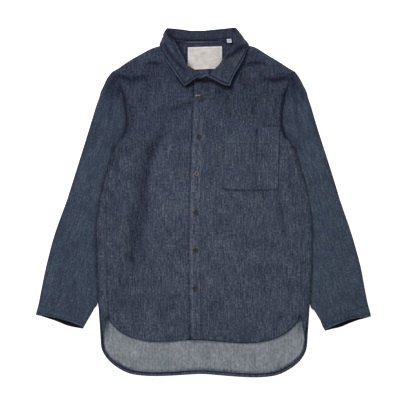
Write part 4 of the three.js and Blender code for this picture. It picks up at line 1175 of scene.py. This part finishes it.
def rounded(points, step=3.0):
    """Points every few millimetres along a smooth line through the given ones."""
    places = np.array(points, float)
    lengths = np.r_[0, np.cumsum(np.hypot(*np.diff(places, axis=0).T))]
    slopes = np.gradient(places, lengths, axis=0)
    wanted = np.linspace(0, lengths[-1], max(3, int(lengths[-1] / step) + 1))
    piece_at = np.clip(np.searchsorted(lengths, wanted) - 1, 0, len(lengths) - 2)
    gap = (lengths[piece_at + 1] - lengths[piece_at])[:, None]
    t = ((wanted - lengths[piece_at]) / gap[:, 0])[:, None]
    return ((2 * t**3 - 3 * t**2 + 1) * places[piece_at]
            + (t**3 - 2 * t**2 + t) * (slopes[piece_at] * gap)
            + (3 * t**2 - 2 * t**3) * places[piece_at + 1]
            + (t**3 - t**2) * (slopes[piece_at + 1] * gap))


def beside(points, distance):
    """A line that runs a fixed distance to the left of another, as a second row of stitches."""
    places = np.array(points, float)
    ahead = np.gradient(places, axis=0)
    ahead /= np.hypot(*ahead.T)[:, None]
    return places + distance * np.stack([-ahead[:, 1], ahead[:, 0]], 1)


HIGHEST_STEP, THREAD_LIFT = 1.5, 0.12


def sewn(name, lines, pitch=3.1, length=2.6, radius=0.27, yarn=thread):
    """Rows of stitches along the lines, each laid on whatever cloth is on top there."""
    corners, edges = [], []
    for line in lines:
        last = None
        for x, y in line:
            hit = top_at(x, y)
            if hit is None or (last is not None and abs(hit.z - last) > HIGHEST_STEP * MM):
                last = None
                continue
            corners.append((x * MM, y * MM, hit.z + THREAD_LIFT * MM))
            if last is not None:
                edges.append((len(corners) - 2, len(corners) - 1))
            last = hit.z
    path = bpy.data.meshes.new(name + "_path")
    path.from_pydata(corners, edges, [])
    row = grown(name, path, stitches, {"Pitch": pitch * MM, "Stitch Length": length * MM,
                                       "Thread Radius": radius * MM, "Thread": yarn})
    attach(row, "root")
    return row


def both_sides(line, *distances):
    """Rows beside a line, and the same rows on the other side of the shirt."""
    rows = [beside(line, distance) for distance in distances]
    return rows + [row * (-1, 1) for row in rows]


PLACKET_ROWS = (2.0, 26.5, 30.6)
sewn("placket_stitches", [rounded(PLACKET_EDGE) + (row, 0) for row in PLACKET_ROWS])
sewn("armhole_stitches", both_sides(rounded(ARMHOLE_LINE), -3, -9))
sewn("side_stitches", both_sides(rounded(SIDE_LINE), 2.5, 8.5))
sewn("front_hem_stitches", both_sides(rounded(FRONT_HEM_LINE), 6.5))


def straight(start, end, step=3.0):
    count = max(2, int(math.dist(start, end) / step))
    return np.linspace(start, end, count + 1)


sewn("pocket_stitches", [
    straight((54.2, 187.5), (49.8, 35.5)), straight((49.8, 35.5), (115.8, 31.6)),
    straight((115.8, 31.6), (181.8, 35.5)), straight((181.8, 35.5), (186.6, 187.5)),
    straight((54.5, 149.5), (185.4, 149.5)), straight((130, 187.5), (128.5, 32.6)),
    straight((54.2, 185.6), (186.6, 185.6)),
])
sewn("collar_stitches", [
    beside(rounded(LEAF_EDGE_RIGHT[1:]), 4), beside(rounded(LEAF_EDGE_LEFT[1:]), -4),
    straight((-14, 312), (-44, 294.5)), straight((20, 310), (58.5, 293.5)),
])

sewn("cuff_stitches", both_sides(straight((411, -281.5), (292, -313.4)), -6.5, -22))
x, y, _ = points_of(back).T
tail_line = sorted(place for place in outline_of(x, y, 0, -80, 120) if place[1] < -352)
sewn("tail_hem_stitches", [beside(rounded(tail_line, 4), 9.2)])
sewn("neck_seam_stitches", [rounded(NECK_SEAM) - (0, 4.2), rounded(shifted(NECK_SEAM, 0, 9))])
sewn("buttonhole_stitches", [
    straight((x + side, y - 10.5), (x + side, y + 10.5), 2)
    for x, y in BUTTON_PLACES for side in (-1.1, 1.1)
], pitch=0.9, length=1.0, radius=0.3)
bronze = label_material("bronze_thread", srgb(104, 92, 80), srgb(158, 142, 128))
sewn("bar_tack", [straight((-21, 266 + row), (-11 + row, 267 + row), 2) for row in (0, 1.1, 2.2)],
     pitch=1.3, length=1.8, radius=0.5, yarn=bronze)
sewn("label_stitches", [straight((-37, 386), (41.5, 388)), straight((41.8, 387), (42, 360)),
                        straight((22, 336), (-21, 336)), straight((-37, 385), (-37, 352))],
     yarn=label_material("label_thread", srgb(196, 190, 184), srgb(236, 232, 228)))
